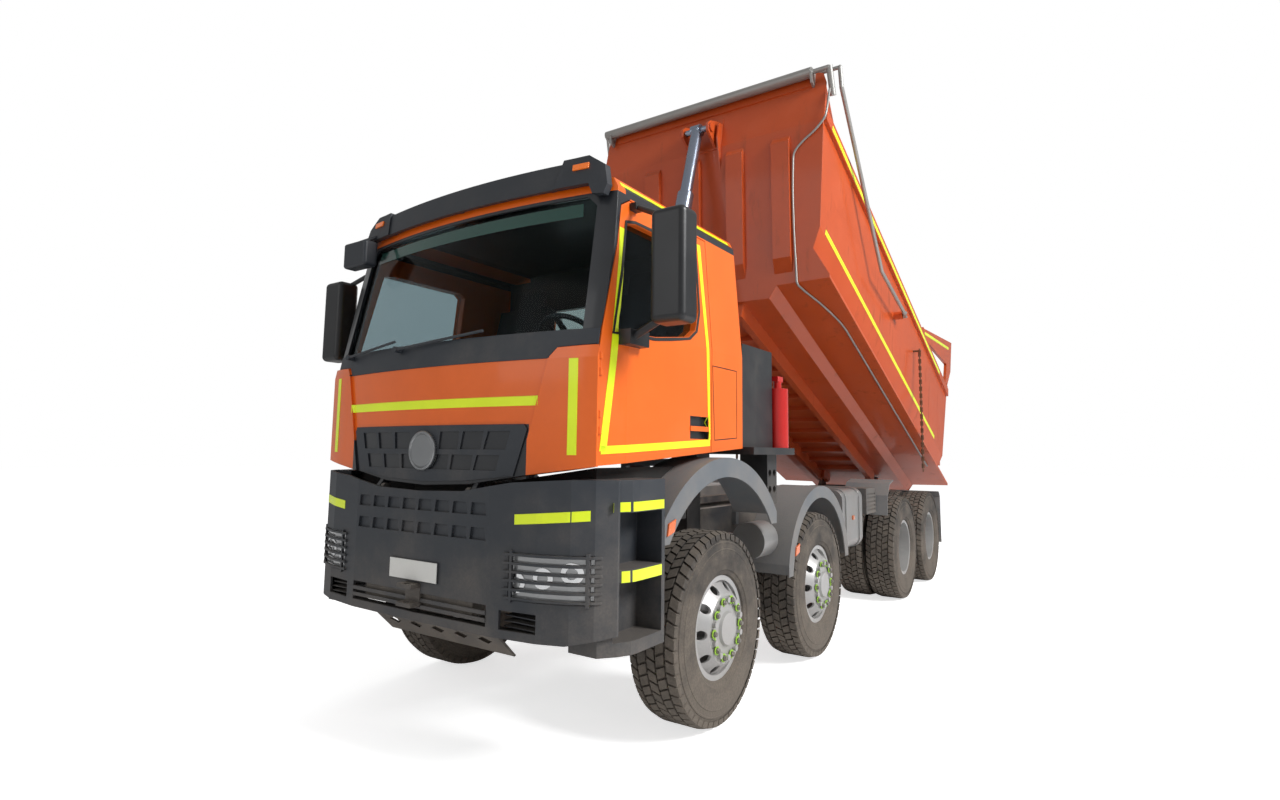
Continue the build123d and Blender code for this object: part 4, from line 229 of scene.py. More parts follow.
def build_dust_group():
    """Paint under rust and road dust: noise, height and upward faces mask the dust."""
    group = bpy.data.node_groups.new("road_dust", "ShaderNodeTree")
    group_socket(group, "Paint", "NodeSocketColor", True, (0.5, 0.5, 0.5, 1))
    group_socket(group, "Dust", "NodeSocketColor", True, (0.36, 0.31, 0.26, 1))
    group_socket(group, "Amount", "NodeSocketFloat", True, 0.4)
    group_socket(group, "Scale", "NodeSocketFloat", True, 3.0)
    group_socket(group, "Fade Height", "NodeSocketFloat", True, 2.0)
    group_socket(group, "Roughness", "NodeSocketFloat", True, 0.4)
    group_socket(group, "Rust", "NodeSocketFloat", True, 0.0)
    group_socket(group, "Color", "NodeSocketColor", False)
    group_socket(group, "Rough", "NodeSocketFloat", False)
    group_socket(group, "Height", "NodeSocketFloat", False)
    inputs = group.nodes.new("NodeGroupInput")
    outputs = group.nodes.new("NodeGroupOutput")
    coordinates = group.nodes.new("ShaderNodeTexCoord")
    place = coordinates.outputs["Object"]
    parts = group.nodes.new("ShaderNodeSeparateXYZ")
    group.links.new(place, parts.inputs[0])
    facing = group.nodes.new("ShaderNodeSeparateXYZ")
    group.links.new(coordinates.outputs["Normal"], facing.inputs[0])
    cloud = noise_node(group, place, inputs.outputs["Scale"], 7.0, 0.62)
    speck = noise_node(group, place, 90.0, 3.0)
    low = ramp_node(group, parts.outputs["Z"], 0.0, inputs.outputs["Fade Height"], 0.55, 0.0)
    top = ramp_node(group, facing.outputs["Z"], 0.2, 1.0, 0.0, 0.3)
    reach = math_node(group, "ADD", math_node(group, "ADD", low, top), cloud)
    mask = ramp_node(group, reach, 0.42, 1.05, smooth=True)
    fine = ramp_node(group, speck, 0.3, 0.7, 0.8, 1.2)
    weight = math_node(group, "MULTIPLY", math_node(group, "MULTIPLY", mask, fine),
                       inputs.outputs["Amount"], True)
    # rust in long runs down the sheet, from a texture squeezed across
    squeeze = group.nodes.new("ShaderNodeMapping")
    squeeze.inputs["Scale"].default_value = (3.0, 3.0, 0.7)
    group.links.new(place, squeeze.inputs["Vector"])
    runs = noise_node(group, squeeze.outputs[0], 2.4, 8.0, 0.68)
    rusty = math_node(group, "MULTIPLY", ramp_node(group, runs, 0.56, 0.72, smooth=True),
                      inputs.outputs["Rust"], True)
    shaded = group.nodes.new("ShaderNodeHueSaturation")
    group.links.new(inputs.outputs["Paint"], shaded.inputs["Color"])
    group.links.new(ramp_node(group, cloud, 0.25, 0.75, 0.93, 1.06), shaded.inputs["Value"])
    painted = mix_node(group, rusty, shaded.outputs[0], RUST_BROWN)
    colour = mix_node(group, weight, painted, inputs.outputs["Dust"])
    group.links.new(colour, outputs.inputs["Color"])
    dull = math_node(group, "ADD", math_node(group, "MULTIPLY", weight, 0.45),
                     math_node(group, "MULTIPLY", rusty, 0.4))
    patchy = ramp_node(group, cloud, 0.3, 0.7, -0.04, 0.06)
    dull = math_node(group, "ADD", dull, patchy)
    group.links.new(math_node(group, "ADD", dull, inputs.outputs["Roughness"], True),
                    outputs.inputs["Rough"])
    raised = math_node(group, "MULTIPLY", speck, math_node(group, "ADD", weight, rusty))
    group.links.new(raised, outputs.inputs["Height"])
    return group


def build_zone_group():
    """A mask that is 1 inside a box given by its two corners, in the frame's metres."""
    group = bpy.data.node_groups.new("zone", "ShaderNodeTree")
    group_socket(group, "Low", "NodeSocketVector", True, (0, 0, 0))
    group_socket(group, "High", "NodeSocketVector", True, (1, 1, 1))
    group_socket(group, "Mask", "NodeSocketFloat", False)
    inputs = group.nodes.new("NodeGroupInput")
    outputs = group.nodes.new("NodeGroupOutput")
    coordinates = group.nodes.new("ShaderNodeTexCoord")
    splits = []
    for source in (coordinates.outputs["Object"], inputs.outputs["Low"], inputs.outputs["High"]):
        split = group.nodes.new("ShaderNodeSeparateXYZ")
        group.links.new(source, split.inputs[0])
        splits.append(split)
    mask = None
    for axis in "XYZ":
        value, low, high = (split.outputs[axis] for split in splits)
        if axis == "X":
            value = math_node(group, "ABSOLUTE", value, 0.0)
        inside = math_node(group, "MULTIPLY", math_node(group, "GREATER_THAN", value, low),
                           math_node(group, "LESS_THAN", value, high))
        mask = inside if mask is None else math_node(group, "MULTIPLY", mask, inside)
    group.links.new(mask, outputs.inputs["Mask"])
    return group


RUST_BROWN = (0.13, 0.05, 0.022, 1.0)
DUST_BROWN = (0.30, 0.25, 0.20, 1.0)
road_dust = build_dust_group()
zone_group = build_zone_group()


def finish(name, color, rough=0.45, metal=0.0, coat=0.0, dust=0.4, fade=2.0, scale=3.0,
           dust_color=DUST_BROWN, edge=0.004, bump=0.3, rust=0.0, zones=(), glow=0.0):
    """A painted, cast or moulded finish with softened edges under rust and road dust.

    Each zone is the colour that a box of the piece has instead, with the box's two corners,
    whose X is how far out from the middle; Y counts from the first axle.
    """
    material, tree, shader = new_material(name)
    dusty = tree.nodes.new("ShaderNodeGroup")
    dusty.node_tree = road_dust
    paint = (*color, 1.0)
    for zone_color, low, high in zones:
        zone = tree.nodes.new("ShaderNodeGroup")
        zone.node_tree = zone_group
        zone.inputs["Low"].default_value = (low[0], low[1] + AXLE_Y, low[2])
        zone.inputs["High"].default_value = (high[0], high[1] + AXLE_Y, high[2])
        paint = mix_node(tree, zone.outputs["Mask"], paint, (*zone_color, 1.0))
    if isinstance(paint, tuple):
        dusty.inputs["Paint"].default_value = paint
    else:
        tree.links.new(paint, dusty.inputs["Paint"])
    dusty.inputs["Dust"].default_value = dust_color
    dusty.inputs["Amount"].default_value = dust
    dusty.inputs["Scale"].default_value = scale
    dusty.inputs["Fade Height"].default_value = fade
    dusty.inputs["Roughness"].default_value = rough
    dusty.inputs["Rust"].default_value = rust
    tree.links.new(dusty.outputs["Color"], shader.inputs["Base Color"])
    tree.links.new(dusty.outputs["Rough"], shader.inputs["Roughness"])
    shader.inputs["Metallic"].default_value = metal
    shader.inputs["Coat Weight"].default_value = coat
    shader.inputs["Coat Roughness"].default_value = 0.08
    if glow:
        tree.links.new(dusty.outputs["Color"], shader.inputs["Emission Color"])
        shader.inputs["Emission Strength"].default_value = glow
    soft = tree.nodes.new("ShaderNodeBevel")
    soft.samples = 4
    soft.inputs["Radius"].default_value = edge
    relief = tree.nodes.new("ShaderNodeBump")
    relief.inputs["Strength"].default_value = bump
    relief.inputs["Distance"].default_value = 0.002
    tree.links.new(dusty.outputs["Height"], relief.inputs["Height"])
    tree.links.new(soft.outputs["Normal"], relief.inputs["Normal"])
    tree.links.new(relief.outputs["Normal"], shader.inputs["Normal"])
    return material


def dress(material, *nodes):
    """Gives CAD nodes one material all over."""
    for node in nodes:
        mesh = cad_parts[node].data
        mesh.materials.clear()
        mesh.materials.append(material)


frame_black = finish("frame_black", (0.024, 0.025, 0.028), 0.45, dust=0.5, fade=1.5)
cast_dark = finish("cast_dark", (0.03, 0.028, 0.026), 0.55, dust=0.6, fade=1.3, rust=0.5)
dress(frame_black, "chassis_frame", "bed_subframe", "towing_gear", "rear_coupling")
dress(cast_dark, "engine_block", "driveline", "front_axles", "rear_axles", "springs",
      "knuckle_1_left", "knuckle_2_left", "knuckle_1_right", "knuckle_2_right")

# ------------------------------------------------------------------ wheels
# Silver steel rims on dark hubs, each with ten nuts whose lime plastic pointers are linked
# in pairs. The tyres are black rubber, moulded with blocks in five rows and ribbed sides.
rim_silver = finish("rim_silver", (0.46, 0.465, 0.47), 0.36, metal=0.45, dust=0.28, fade=1.2,
                    edge=0.003)
tyre_rubber = finish("tyre_rubber", (0.021, 0.02, 0.02), 0.82, dust=0.42, fade=1.5, scale=5.0,
                     edge=0.002)
nut_steel = finish("nut_steel", (0.25, 0.25, 0.25), 0.35, metal=0.9, dust=0.4)
lime_plastic = finish("lime_plastic", (0.32, 0.62, 0.03), 0.45, dust=0.15)
TYRE_WIDTH = 0.316
TYRE_ROWS = ((-0.146, -0.098), (-0.086, -0.034), (-0.024, 0.024), (0.034, 0.086), (0.098, 0.146))
TYRE_BLOCKS = 52
TYRE_SPOKES = 104
# tread blocks: radius of their tops and feet, in the middle rows and along the shoulders
TREAD_TOP, SHOULDER_TOP = 0.5695, 0.556
TREAD_FOOT, SHOULDER_FOOT = 0.545, 0.522
# the nuts stand on this circle; each nut's washer, body and stud have a radius and a height
NUT_COUNT = 10
NUT_CIRCLE = 0.1675
NUT_STEPS = ((0.0205, 0.006), (0.0165, 0.024), (0.0125, 0.031))
# section of a pointer's ring: how far out from the disc, and radius
POINTER_RING = ((0.008, 0.0255), (0.014, 0.0255), (0.014, 0.017), (0.008, 0.017))
POINTER_SIDES = 16
BOX_FACES = ((0, 1, 3, 2), (4, 5, 7, 6), (0, 1, 5, 4), (2, 3, 7, 6), (0, 2, 6, 4), (1, 3, 7, 5))
BLOCK_FACES = ((1, 3, 7, 5), (0, 1, 5, 4), (3, 2, 6, 7), (0, 2, 3, 1), (4, 5, 7, 6))
# half of a tyre's section from the bead to the middle: distance from its middle and radius
TYRE_SECTION = ((0.126, 0.303), (0.140, 0.312), (0.149, 0.335), (0.152, 0.337), (0.1545, 0.342),
                (0.1575, 0.385), (0.158, 0.42), (0.1565, 0.455), (0.1575, 0.457), (0.1575, 0.463),
                (0.1545, 0.466), (0.150, 0.495), (0.151, 0.498), (0.149, 0.506), (0.145, 0.509),
                (0.140, 0.530), (0.130, 0.545), (0.112, 0.5515), (0.0, 0.5545))


surfaces = {}


def land(node, point, direction):
    """Where a line through a point meets a CAD node, and the face's normal towards the line."""
    if node not in surfaces:
        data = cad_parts[node].data
        surfaces[node] = BVHTree.FromPolygons([v.co[:] for v in data.vertices],
                                              [p.vertices[:] for p in data.polygons])
    way = Vector(direction).normalized()
    place, normal, _, _ = surfaces[node].ray_cast(Vector(point) - way * 3.0, way, 8.0)
    if place is None:
        return None, -way
    return place, normal if normal.dot(way) < 0 else -normal


def tyre_parts():
    """Vertices and faces of one tyre about the X axis: the body, then its tread blocks."""
    section = [(-x, r) for x, r in TYRE_SECTION] + [(x, r) for x, r in TYRE_SECTION[-2::-1]]
    verts, faces = [], []
    for i in range(TYRE_SPOKES):
        turn_at = 2 * math.pi * i / TYRE_SPOKES
        verts += [(x, r * math.sin(turn_at), r * math.cos(turn_at)) for x, r in section]
    wide = len(section)
    for i in range(TYRE_SPOKES):
        j = (i + 1) % TYRE_SPOKES
        for k in range(wide - 1):
            faces.append((i * wide + k, i * wide + k + 1, j * wide + k + 1, j * wide + k))
        faces.append((i * wide + wide - 1, i * wide, j * wide, j * wide + wide - 1))
    pitch = 2 * math.pi / TYRE_BLOCKS
    for row, (x0, x1) in enumerate(TYRE_ROWS):
        side = row - 2
        skew = 0.16 * pitch * (1 if row % 2 else -1)
        top0, foot0 = (SHOULDER_TOP, SHOULDER_FOOT) if side == -2 else (TREAD_TOP, TREAD_FOOT)
        top1, foot1 = (SHOULDER_TOP, SHOULDER_FOOT) if side == 2 else (TREAD_TOP, TREAD_FOOT)
        for index in range(TYRE_BLOCKS):
            start = (index + 0.5 * (row % 2)) * pitch
            size = 0.8 * pitch
            corners = []
            for x, top, foot, lean in ((x0, top0, foot0, -skew), (x1, top1, foot1, skew)):
                for angle in (start + lean, start + size + lean):
                    for radius in (foot, top):
                        # a shoulder block spreads a little at its foot
                        out = math.copysign(0.004 if radius == SHOULDER_FOOT else 0.0, x)
                        corners.append((x + out, radius * math.sin(angle),
                                        radius * math.cos(angle)))
            base = len(verts)
            verts += corners
            faces += [tuple(base + n for n in face) for face in BLOCK_FACES]
    return verts, faces


tyre_verts, tyre_faces = tyre_parts()
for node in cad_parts:
    if node.startswith("rim"):
        dress(rim_silver, node)
for side, sign in (("left", 1), ("right", -1)):
    for number in (1, 2, 3, 4):
        single = number < 3
        node = f"tyre_{number}_{side}" if single else f"tyres_{number}_{side}"
        rim = f"rim_{number}_{side}" if single else f"rims_{number}_{side}"
        wheel = f"{side}_wheel_{number}" if single else f"{side}_wheels_{number}"
        low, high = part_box(node)
        centre = (low + high) / 2
        reach = (high.x - low.x - TYRE_WIDTH) / 2
        verts, faces = [], []
        for shift in ((0.0,) if single else (-reach, reach)):
            base = len(verts)
            verts += [(centre.x + shift + x, centre.y + y, centre.z + z) for x, y, z in tyre_verts]
            faces += [tuple(base + n for n in face) for face in tyre_faces]
        tyre = mesh_object(f"tread_{number}_{side}", verts, faces, tyre_rubber)
        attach(tyre, wheel)
        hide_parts(node)
        # nuts on the disc, then the pointers that link them in pairs
        seats = []
        for index in range(NUT_COUNT):
            angle = 2 * math.pi * (index + 0.5) / NUT_COUNT
            spot = centre + Vector((sign * 0.5, NUT_CIRCLE * math.sin(angle),
                                    NUT_CIRCLE * math.cos(angle)))
            place, _ = land(rim, spot, (-sign, 0, 0))
            seats.append((place, angle))
        verts, faces = [], []
        for place, angle in seats:
            for radius, tall in NUT_STEPS:
                base = len(verts)
                for out in (0.0, tall):
                    for k in range(6):
                        corner = angle + math.pi * k / 3
                        verts.append(place + Vector((sign * out, radius * math.sin(corner),
                                                     radius * math.cos(corner))))
                faces += [tuple(base + n for n in (k, (k + 1) % 6, 6 + (k + 1) % 6, 6 + k))
                          for k in range(6)]
                faces += [tuple(base + n for n in range(6)), tuple(base + n for n in range(6, 12))]
        nuts = mesh_object(f"nuts_{number}_{side}", verts, faces, nut_steel)
        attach(nuts, wheel)
        verts, faces = [], []
        for index in range(0, NUT_COUNT, 2):
            (first, _), (second, _) = seats[index], seats[index + 1]
            for place in (first, second):
                base = len(verts)
                for out, radius in POINTER_RING:
                    for k in range(POINTER_SIDES):
                        angle = 2 * math.pi * k / POINTER_SIDES
                        verts.append(place + Vector((sign * out, radius * math.sin(angle),
                                                     radius * math.cos(angle))))
                for ring in range(len(POINTER_RING)):
                    near = base + ring * POINTER_SIDES
                    far = base + (ring + 1) % len(POINTER_RING) * POINTER_SIDES
                    for k in range(POINTER_SIDES):
                        j = (k + 1) % POINTER_SIDES
                        faces.append((near + k, near + j, far + j, far + k))
            line = (second - first).normalized()
            cross = Vector((sign, 0, 0)).cross(line)
            a, b = first + line * 0.024, second - line * 0.024
            base = len(verts)
            for out in (0.0085, 0.0135):
                verts += [end + Vector((sign * out, 0, 0)) + cross * half
                          for end in (a, b) for half in (-0.006, 0.006)]
            faces += [tuple(base + n for n in face) for face in BOX_FACES]
        pointers = mesh_object(f"pointers_{number}_{side}", verts, faces, lime_plastic)
        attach(pointers, wheel)

# ------------------------------------------------------------------ bumper and lamps
# A moulded dark grey bumper with barred lamp bays and a blank plate. The lamps have clear
# covers over bright reflectors, orange side markers and red rear units.
shell_grey = finish("shell_grey", (0.026, 0.031, 0.039), 0.5, dust=0.3, fade=1.3)
dress(shell_grey, "front_bumper", "steps", "cab_grille", "wipers")
lamp_lens = finish("lamp_lens", (0.42, 0.43, 0.44), 0.1, coat=1.0, dust=0.1, metal=0.3,
                   zones=(((0.75, 0.16, 0.01), (0.9, 0.8, 0.9), (1.3, 1.3, 1.6)),
                          ((0.75, 0.16, 0.01), (1.1, 2.6, 0.9), (1.3, 3.0, 1.1)),
                          ((0.4, 0.01, 0.01), (0.6, 4.5, 0.7), (1.3, 8.5, 1.0)),
                          ((0.05, 0.05, 0.05), (0.0, 4.5, 0.7), (0.6, 8.5, 1.0))))
dress(lamp_lens, "lamps")
FRONT = (0, 1, 0)
# each side's sign along X, its name, and the way that a line runs onto it from outside
SIDES = ((1, "left", (-1, 0, 0)), (-1, "right", (1, 0, 0)))


def at(x, y, z):
    """A place given from the first axle's line, in the frame's metres."""
    return Vector((x, y + AXLE_Y, z))


def grid_between(corners, across, along):
    """Rows of points between four corners: first to second along, first to fourth across."""
    a, b, c, d = (Vector(corner) for corner in corners)
    rows = []
    for j in range(across + 1):
        start = a.lerp(d, j / across)
        end = b.lerp(c, j / across)
        rows.append([start.lerp(end, i / along) for i in range(along + 1)])
    return rows


# a sheet floats this far off its surface, and bridges where the surface drops further
SHEET_GAP = 0.0004
SHEET_JUMP = 0.05


def sheet_on(name, node, rows, direction, body, material, thick=0.0014, closed=False):
    """A thin closed sheet laid on a CAD node: rows of points are brought onto its surface."""
    top, under = [], []
    way = Vector(direction).normalized()
    for row in rows:
        found = [land(node, point, direction) for point in row]
        depth = min(place.dot(way) for place, _ in found if place is not None)
        depth = next((place.dot(way) for place, _ in found
                      if place is not None and place.dot(way) < depth + SHEET_JUMP), depth)
        for point, (place, normal) in zip(row, found):
            # over an opening the sheet bridges at the depth that it had before
            if place is None or place.dot(way) > depth + SHEET_JUMP:
                place = Vector(point) + way * (depth - Vector(point).dot(way))
                normal = -way
            depth = place.dot(way)
            top.append(place + normal * (thick + SHEET_GAP))
            under.append(place + normal * SHEET_GAP)
    count, wide = len(top), len(rows[0])
    faces = []
    columns = wide if closed else wide - 1
    for j in range(len(rows) - 1):
        for i in range(columns):
            k = (i + 1) % wide
            a, b, c, d = j * wide + i, j * wide + k, (j + 1) * wide + k, (j + 1) * wide + i
            faces += [(a, b, c, d), (d + count, c + count, b + count, a + count)]
    last = (len(rows) - 1) * wide
    for i in range(columns):
        k = (i + 1) % wide
        faces += [(k, i, i + count, k + count),
                  (last + i, last + k, last + k + count, last + i + count)]
    if not closed:
        for j in range(len(rows) - 1):
            a, b = j * wide, (j + 1) * wide
            faces += [(a, b, b + count, a + count),
                      (b + wide - 1, a + wide - 1, a + wide - 1 + count, b + wide - 1 + count)]
    piece = mesh_object(name, top + under, faces, material)
    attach(piece, body)


def patch_on(name, node, corners, cuts, direction, body, material, thick=0.0014, place=at):
    """A four-cornered sheet on a CAD node, cut across and along; place puts its corners."""
    rows = grid_between([place(*corner) for corner in corners], *cuts)
    sheet_on(name, node, rows, direction, body, material, thick)


# ------------------------------------------------------------------ lamp reflectors
# Three bright pressed bowls in each headlamp, one beside the other and each a little
# higher than its neighbour, fixed behind the clear cover.
reflector = finish("reflector", (0.8, 0.81, 0.82), 0.08, metal=0.95, dust=0.03)
REFLECTOR_X = (0.73, 0.88, 1.02)
REFLECTOR_Z = 0.975
REFLECTOR_RISE = 0.03
REFLECTOR_RINGS = (0.052, 0.040, 0.026)
for sign, side, _ in SIDES:
    for index, x in enumerate(REFLECTOR_X):
        z = REFLECTOR_Z + REFLECTOR_RISE * index
        rows = [[at(sign * (x + radius * math.cos(math.pi * k / 12)), -2,
                    z + radius * math.sin(math.pi * k / 12)) for k in range(24)]
                for radius in REFLECTOR_RINGS]
        sheet_on(f"reflector_{index + 1}_{side}", "lamps", rows, FRONT, "chassis", reflector,
                 thick=0.004, closed=True)

# ------------------------------------------------------------------ number plate
# A blank plate of thin painted sheet, screwed flat to the middle of the bumper between
# the two low bays.
plate_white = finish("plate_white", (0.75, 0.75, 0.72), 0.4, dust=0.15)
patch_on("plate_blank", "front_bumper", ((-0.20, -2, 0.915), (0.20, -2, 0.915),
                                         (0.20, -2, 1.02), (-0.20, -2, 1.02)),
         (2, 6), FRONT, "chassis", plate_white)

# ------------------------------------------------------------------ bumper tapes
# Yellow reflective film, cut in bands and pressed onto the bumper's face beside each
# lamp and onto the panels that hold the steps.
# The film's faint glow is painted light: it brightens the tape, which is no lamp.
tape_yellow = finish("tape_yellow", (0.72, 0.86, 0.01), 0.32, coat=0.3, dust=0.06, glow=0.12,
                     bump=0.1)
for sign, side, way in SIDES:
    out = sign * 2.0
    inner, outer = sign * 0.72, sign * 1.10
    patch_on(f"tape_bumper_{side}", "steps", ((out, -1.10, 1.325), (out, -0.70, 1.325),
                                              (out, -0.70, 1.372), (out, -1.10, 1.372)),
             (2, 12), way, "chassis", tape_yellow)
    patch_on(f"tape_corner_{side}", "front_bumper", ((inner, -2, 1.255), (outer, -2, 1.285),
                                                     (outer, -2, 1.335), (inner, -2, 1.305)),
             (2, 12), FRONT, "chassis", tape_yellow)
    patch_on(f"tape_step_{side}", "steps", ((out, -1.03, 0.985), (out, -0.72, 0.985),
                                            (out, -0.72, 1.04), (out, -1.03, 1.04)),
             (2, 10), way, "chassis", tape_yellow)

# ------------------------------------------------------------------ fog lamp blanks
# Moulded panels with four slats close the bumper's two low bays, where other trucks
# carry fog lamps. They are of the bumper's own plastic.
def boxes_object(name, boxes, material):
    """One mesh of plain boxes, each given by its two corners from the first axle's line."""
    verts, faces = [], []
    for (x0, y0, z0), (x1, y1, z1) in boxes:
        base = len(verts)
        verts += [at(x, y, z) for z in (z0, z1)
                  for x, y in ((x0, y0), (x1, y0), (x1, y1), (x0, y1))]
        faces += [tuple(base + n for n in face)
                  for face in ((0, 1, 2, 3), (4, 5, 6, 7), (0, 1, 5, 4), (1, 2, 6, 5),
                               (2, 3, 7, 6), (3, 0, 4, 7))]
    return mesh_object(name, verts, faces, material)


slats = []
for sign in (1, -1):
    slats.append(((sign * 0.63, -1.20, 0.73), (sign * 0.87, -1.19, 0.845)))
    slats += [((sign * 0.635, -1.26 + 0.004 * n, 0.748 + 0.026 * n),
               (sign * 0.865, -1.20, 0.753 + 0.026 * n)) for n in range(4)]
fog_blanks = boxes_object("fog_blanks", slats, shell_grey)
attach(fog_blanks, "chassis")

# ------------------------------------------------------------------ mudguards
# Grey moulded guards bolted over the wheels. Those of the first two axles carry a small
# orange side lamp at their front edge.
guard_grey = finish("guard_grey", (0.12, 0.137, 0.155), 0.5, dust=0.4, fade=2.0)
dress(guard_grey, "mudguards")
# lowest front corner of each lamp, Y and Z
SIDE_MARKERS = ((-0.675, 1.175), (1.12, 0.86))
amber = finish("amber", (0.75, 0.13, 0.01), 0.18, coat=0.8, dust=0.08)
for sign, side, way in SIDES:
    out = sign * 2.0
    for index, (y, z) in enumerate(SIDE_MARKERS):
        patch_on(f"side_marker_{index + 1}_{side}", "mudguards",
                 ((out, y, z), (out, y + 0.07, z + 0.02), (out, y + 0.085, z + 0.085),
                  (out, y + 0.015, z + 0.065)), (2, 3), way, "chassis", amber, thick=0.010)

# ------------------------------------------------------------------ tanks and boxes
# A bright fuel tank and air tanks of rolled sheet in straps, and dark boxes bolted to the
# rails between the axles.
tank_silver = finish("tank_silver", (0.42, 0.43, 0.44), 0.33, metal=0.8, dust=0.35)
dress(tank_silver, "fuel_tank", "air_tanks")
box_grey = finish("box_grey", (0.06, 0.063, 0.068), 0.45, dust=0.4)
dress(box_grey, "side_boxes")

# ------------------------------------------------------------------ cabinet and extinguisher
# A black painted steel cabinet stands on the frame behind the cab. A red extinguisher
# hangs on its outer wall.
cabinet_black = finish("cabinet_black", (0.02, 0.022, 0.025), 0.4, dust=0.25)
dress(cabinet_black, "service_cabinet")
red_gloss = finish("red_gloss", (0.5, 0.012, 0.01), 0.25, coat=0.6, dust=0.12)
dress(red_gloss, "extinguisher")

# ------------------------------------------------------------------ shade sheet under the cab
# A black sheet bent round the front of the frame, as painted shade: it closes the view between the
# cab's floor and the bumper, where shade falls. Its black also fills the gap round the side hatch.
gap_and_shade_black = finish("gap_and_shade_black", (0.01, 0.01, 0.01), 0.7, dust=0.05)
SHADE_SHEET = ((-1.03, -0.15, 1.536), (-1.03, -1.04, 1.536), (-0.69, -1.06, 1.487),
          (-0.35, -1.06, 1.437), (0.0, -1.06, 1.422), (0.35, -1.06, 1.437),
          (0.69, -1.06, 1.487), (1.03, -1.04, 1.536), (1.03, -0.15, 1.536))
SHADE_SHEET_LOW = 1.22
shade_sheet_verts = []
for x, y, z in SHADE_SHEET:
    inner = Vector((x * 0.99, y + (0.008 if y < -1 else 0.0), 0))
    shade_sheet_verts += [at(x, y, z), at(x, y, SHADE_SHEET_LOW), at(inner.x, inner.y, SHADE_SHEET_LOW),
                     at(inner.x, inner.y, z)]
shade_sheet_faces = [(0, 1, 2, 3)]
for k in range(len(SHADE_SHEET) - 1):
    shade_sheet_faces += [tuple(4 * k + n for n in (a, (a + 1) % 4, 4 + (a + 1) % 4, 4 + a))
                     for a in range(4)]
shade_sheet_faces.append(tuple(4 * (len(SHADE_SHEET) - 1) + n for n in range(4)))
shade_sheet = mesh_object("shade_sheet_under_cab", shade_sheet_verts, shade_sheet_faces, gap_and_shade_black)
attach(shade_sheet, "chassis")

# ------------------------------------------------------------------ cab
# A pressed steel cab and its doors in clear-coated orange. The windscreen's surround and
# the cowl are black, and the inside is lined in grey.
ORANGE = (0.84, 0.135, 0.004)
BLACK = (0.014, 0.016, 0.02)
LINING = (0.07, 0.075, 0.08)
cab_orange = finish("cab_orange", ORANGE, 0.34, coat=0.35, dust=0.06, fade=1.4, bump=0.1,
                    zones=((BLACK, (-0.1, -1.6, 2.088), (0.86, -0.8, 3.005)),
                           (BLACK, (0.8, -1.6, 2.15), (1.3, -0.86, 3.005)),
                           (BLACK, (-0.1, -1.6, 1.3), (0.74, -1.2, 1.755)),
                           (BLACK, (1.0, -0.9, 2.99), (1.3, 0.5, 3.045)),
                           (LINING, (-0.1, -0.9, 1.57), (1.03, 0.375, 3.04)),
                           (LINING, (-0.1, -0.9, 3.03), (0.80, 0.375, 3.095))))
dress(cab_orange, "cab_shell")
# The black box round the handle is painted shade: it darkens the handle's recess, where shade
# falls.
door_orange = finish("door_orange", ORANGE, 0.34, coat=0.35, dust=0.06, fade=1.4, bump=0.1,
                     zones=((BLACK, (1.0, -0.33, 1.685), (1.15, -0.07, 1.84)),))
dress(door_orange, "door_left", "door_right")

# ------------------------------------------------------------------ cab tapes
# Yellow reflective film in bands across the nose, up its corners, along the roof's edge
# and round three sides of each door.
patch_on("tape_nose", "cab_shell", ((-0.80, -2, 1.849), (0.80, -2, 1.849),
                                    (0.80, -2, 1.899), (-0.80, -2, 1.899)),
         (2, 60), FRONT, "cab", tape_yellow)
for sign, side, way in SIDES:
    out = sign * 2.0
    inner, outer = sign * 0.975, sign * 1.025
    door, swings_with = f"door_{side}", f"{side}_door"
    patch_on(f"tape_roof_{side}", "cab_shell", ((out, -0.93, 3.045), (out, 0.33, 3.045),
                                                (out, 0.33, 3.09), (out, -0.93, 3.09)),
             (2, 30), way, "cab", tape_yellow)
    patch_on(f"tape_cover_{side}", "cab_shell", ((inner, -2, 1.60), (outer, -2, 1.60),
                                                 (outer, -2, 2.08), (inner, -2, 2.08)),
             (12, 2), FRONT, "cab", tape_yellow)
    patch_on(f"tape_door_front_{side}", door, ((out, -1.13, 1.62), (out, -1.085, 1.62),
                                               (out, -0.93, 2.80), (out, -0.975, 2.80)),
             (24, 2), way, swings_with, tape_yellow)
    patch_on(f"tape_door_rear_{side}", door, ((out, -0.088, 1.70), (out, -0.063, 1.70),
                                              (out, -0.10, 2.93), (out, -0.14, 2.93)),
             (24, 2), way, swings_with, tape_yellow)
    patch_on(f"tape_door_low_{side}", door, ((out, -1.12, 1.605), (out, -0.07, 1.66),
                                             (out, -0.07, 1.70), (out, -1.12, 1.645)),
             (2, 24), way, swings_with, tape_yellow)

# ------------------------------------------------------------------ badge
# A round badge of turned bright metal with a raised rim, left blank and clipped to the
# middle of the grille.
badge_grey = finish("badge_grey", (0.3, 0.31, 0.32), 0.3, metal=0.8, dust=0.1)
BADGE_Z = 1.615
BADGE_SIDES = 48
grille_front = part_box("cab_grille")[0].y
# a turned section of the blank badge: radius and how far ahead of the grille
BADGE_SECTION = ((0.0, 0.010), (0.088, 0.010), (0.092, 0.006), (0.097, 0.014), (0.105, 0.014),
                 (0.110, 0.008), (0.110, -0.012), (0.0, -0.012))
badge_verts, badge_faces = [], []
for k in range(BADGE_SIDES):
    angle = 2 * math.pi * k / BADGE_SIDES
    badge_verts += [(radius * math.cos(angle), grille_front - ahead,
                     BADGE_Z + radius * math.sin(angle)) for radius, ahead in BADGE_SECTION]
for k in range(BADGE_SIDES):
    start = k * len(BADGE_SECTION)
    following = (k + 1) % BADGE_SIDES * len(BADGE_SECTION)
    for n in range(len(BADGE_SECTION) - 1):
        badge_faces.append((start + n, start + n + 1, following + n + 1, following + n))
badge = mesh_object("badge_blank", badge_verts, badge_faces, badge_grey)
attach(badge, "cab")

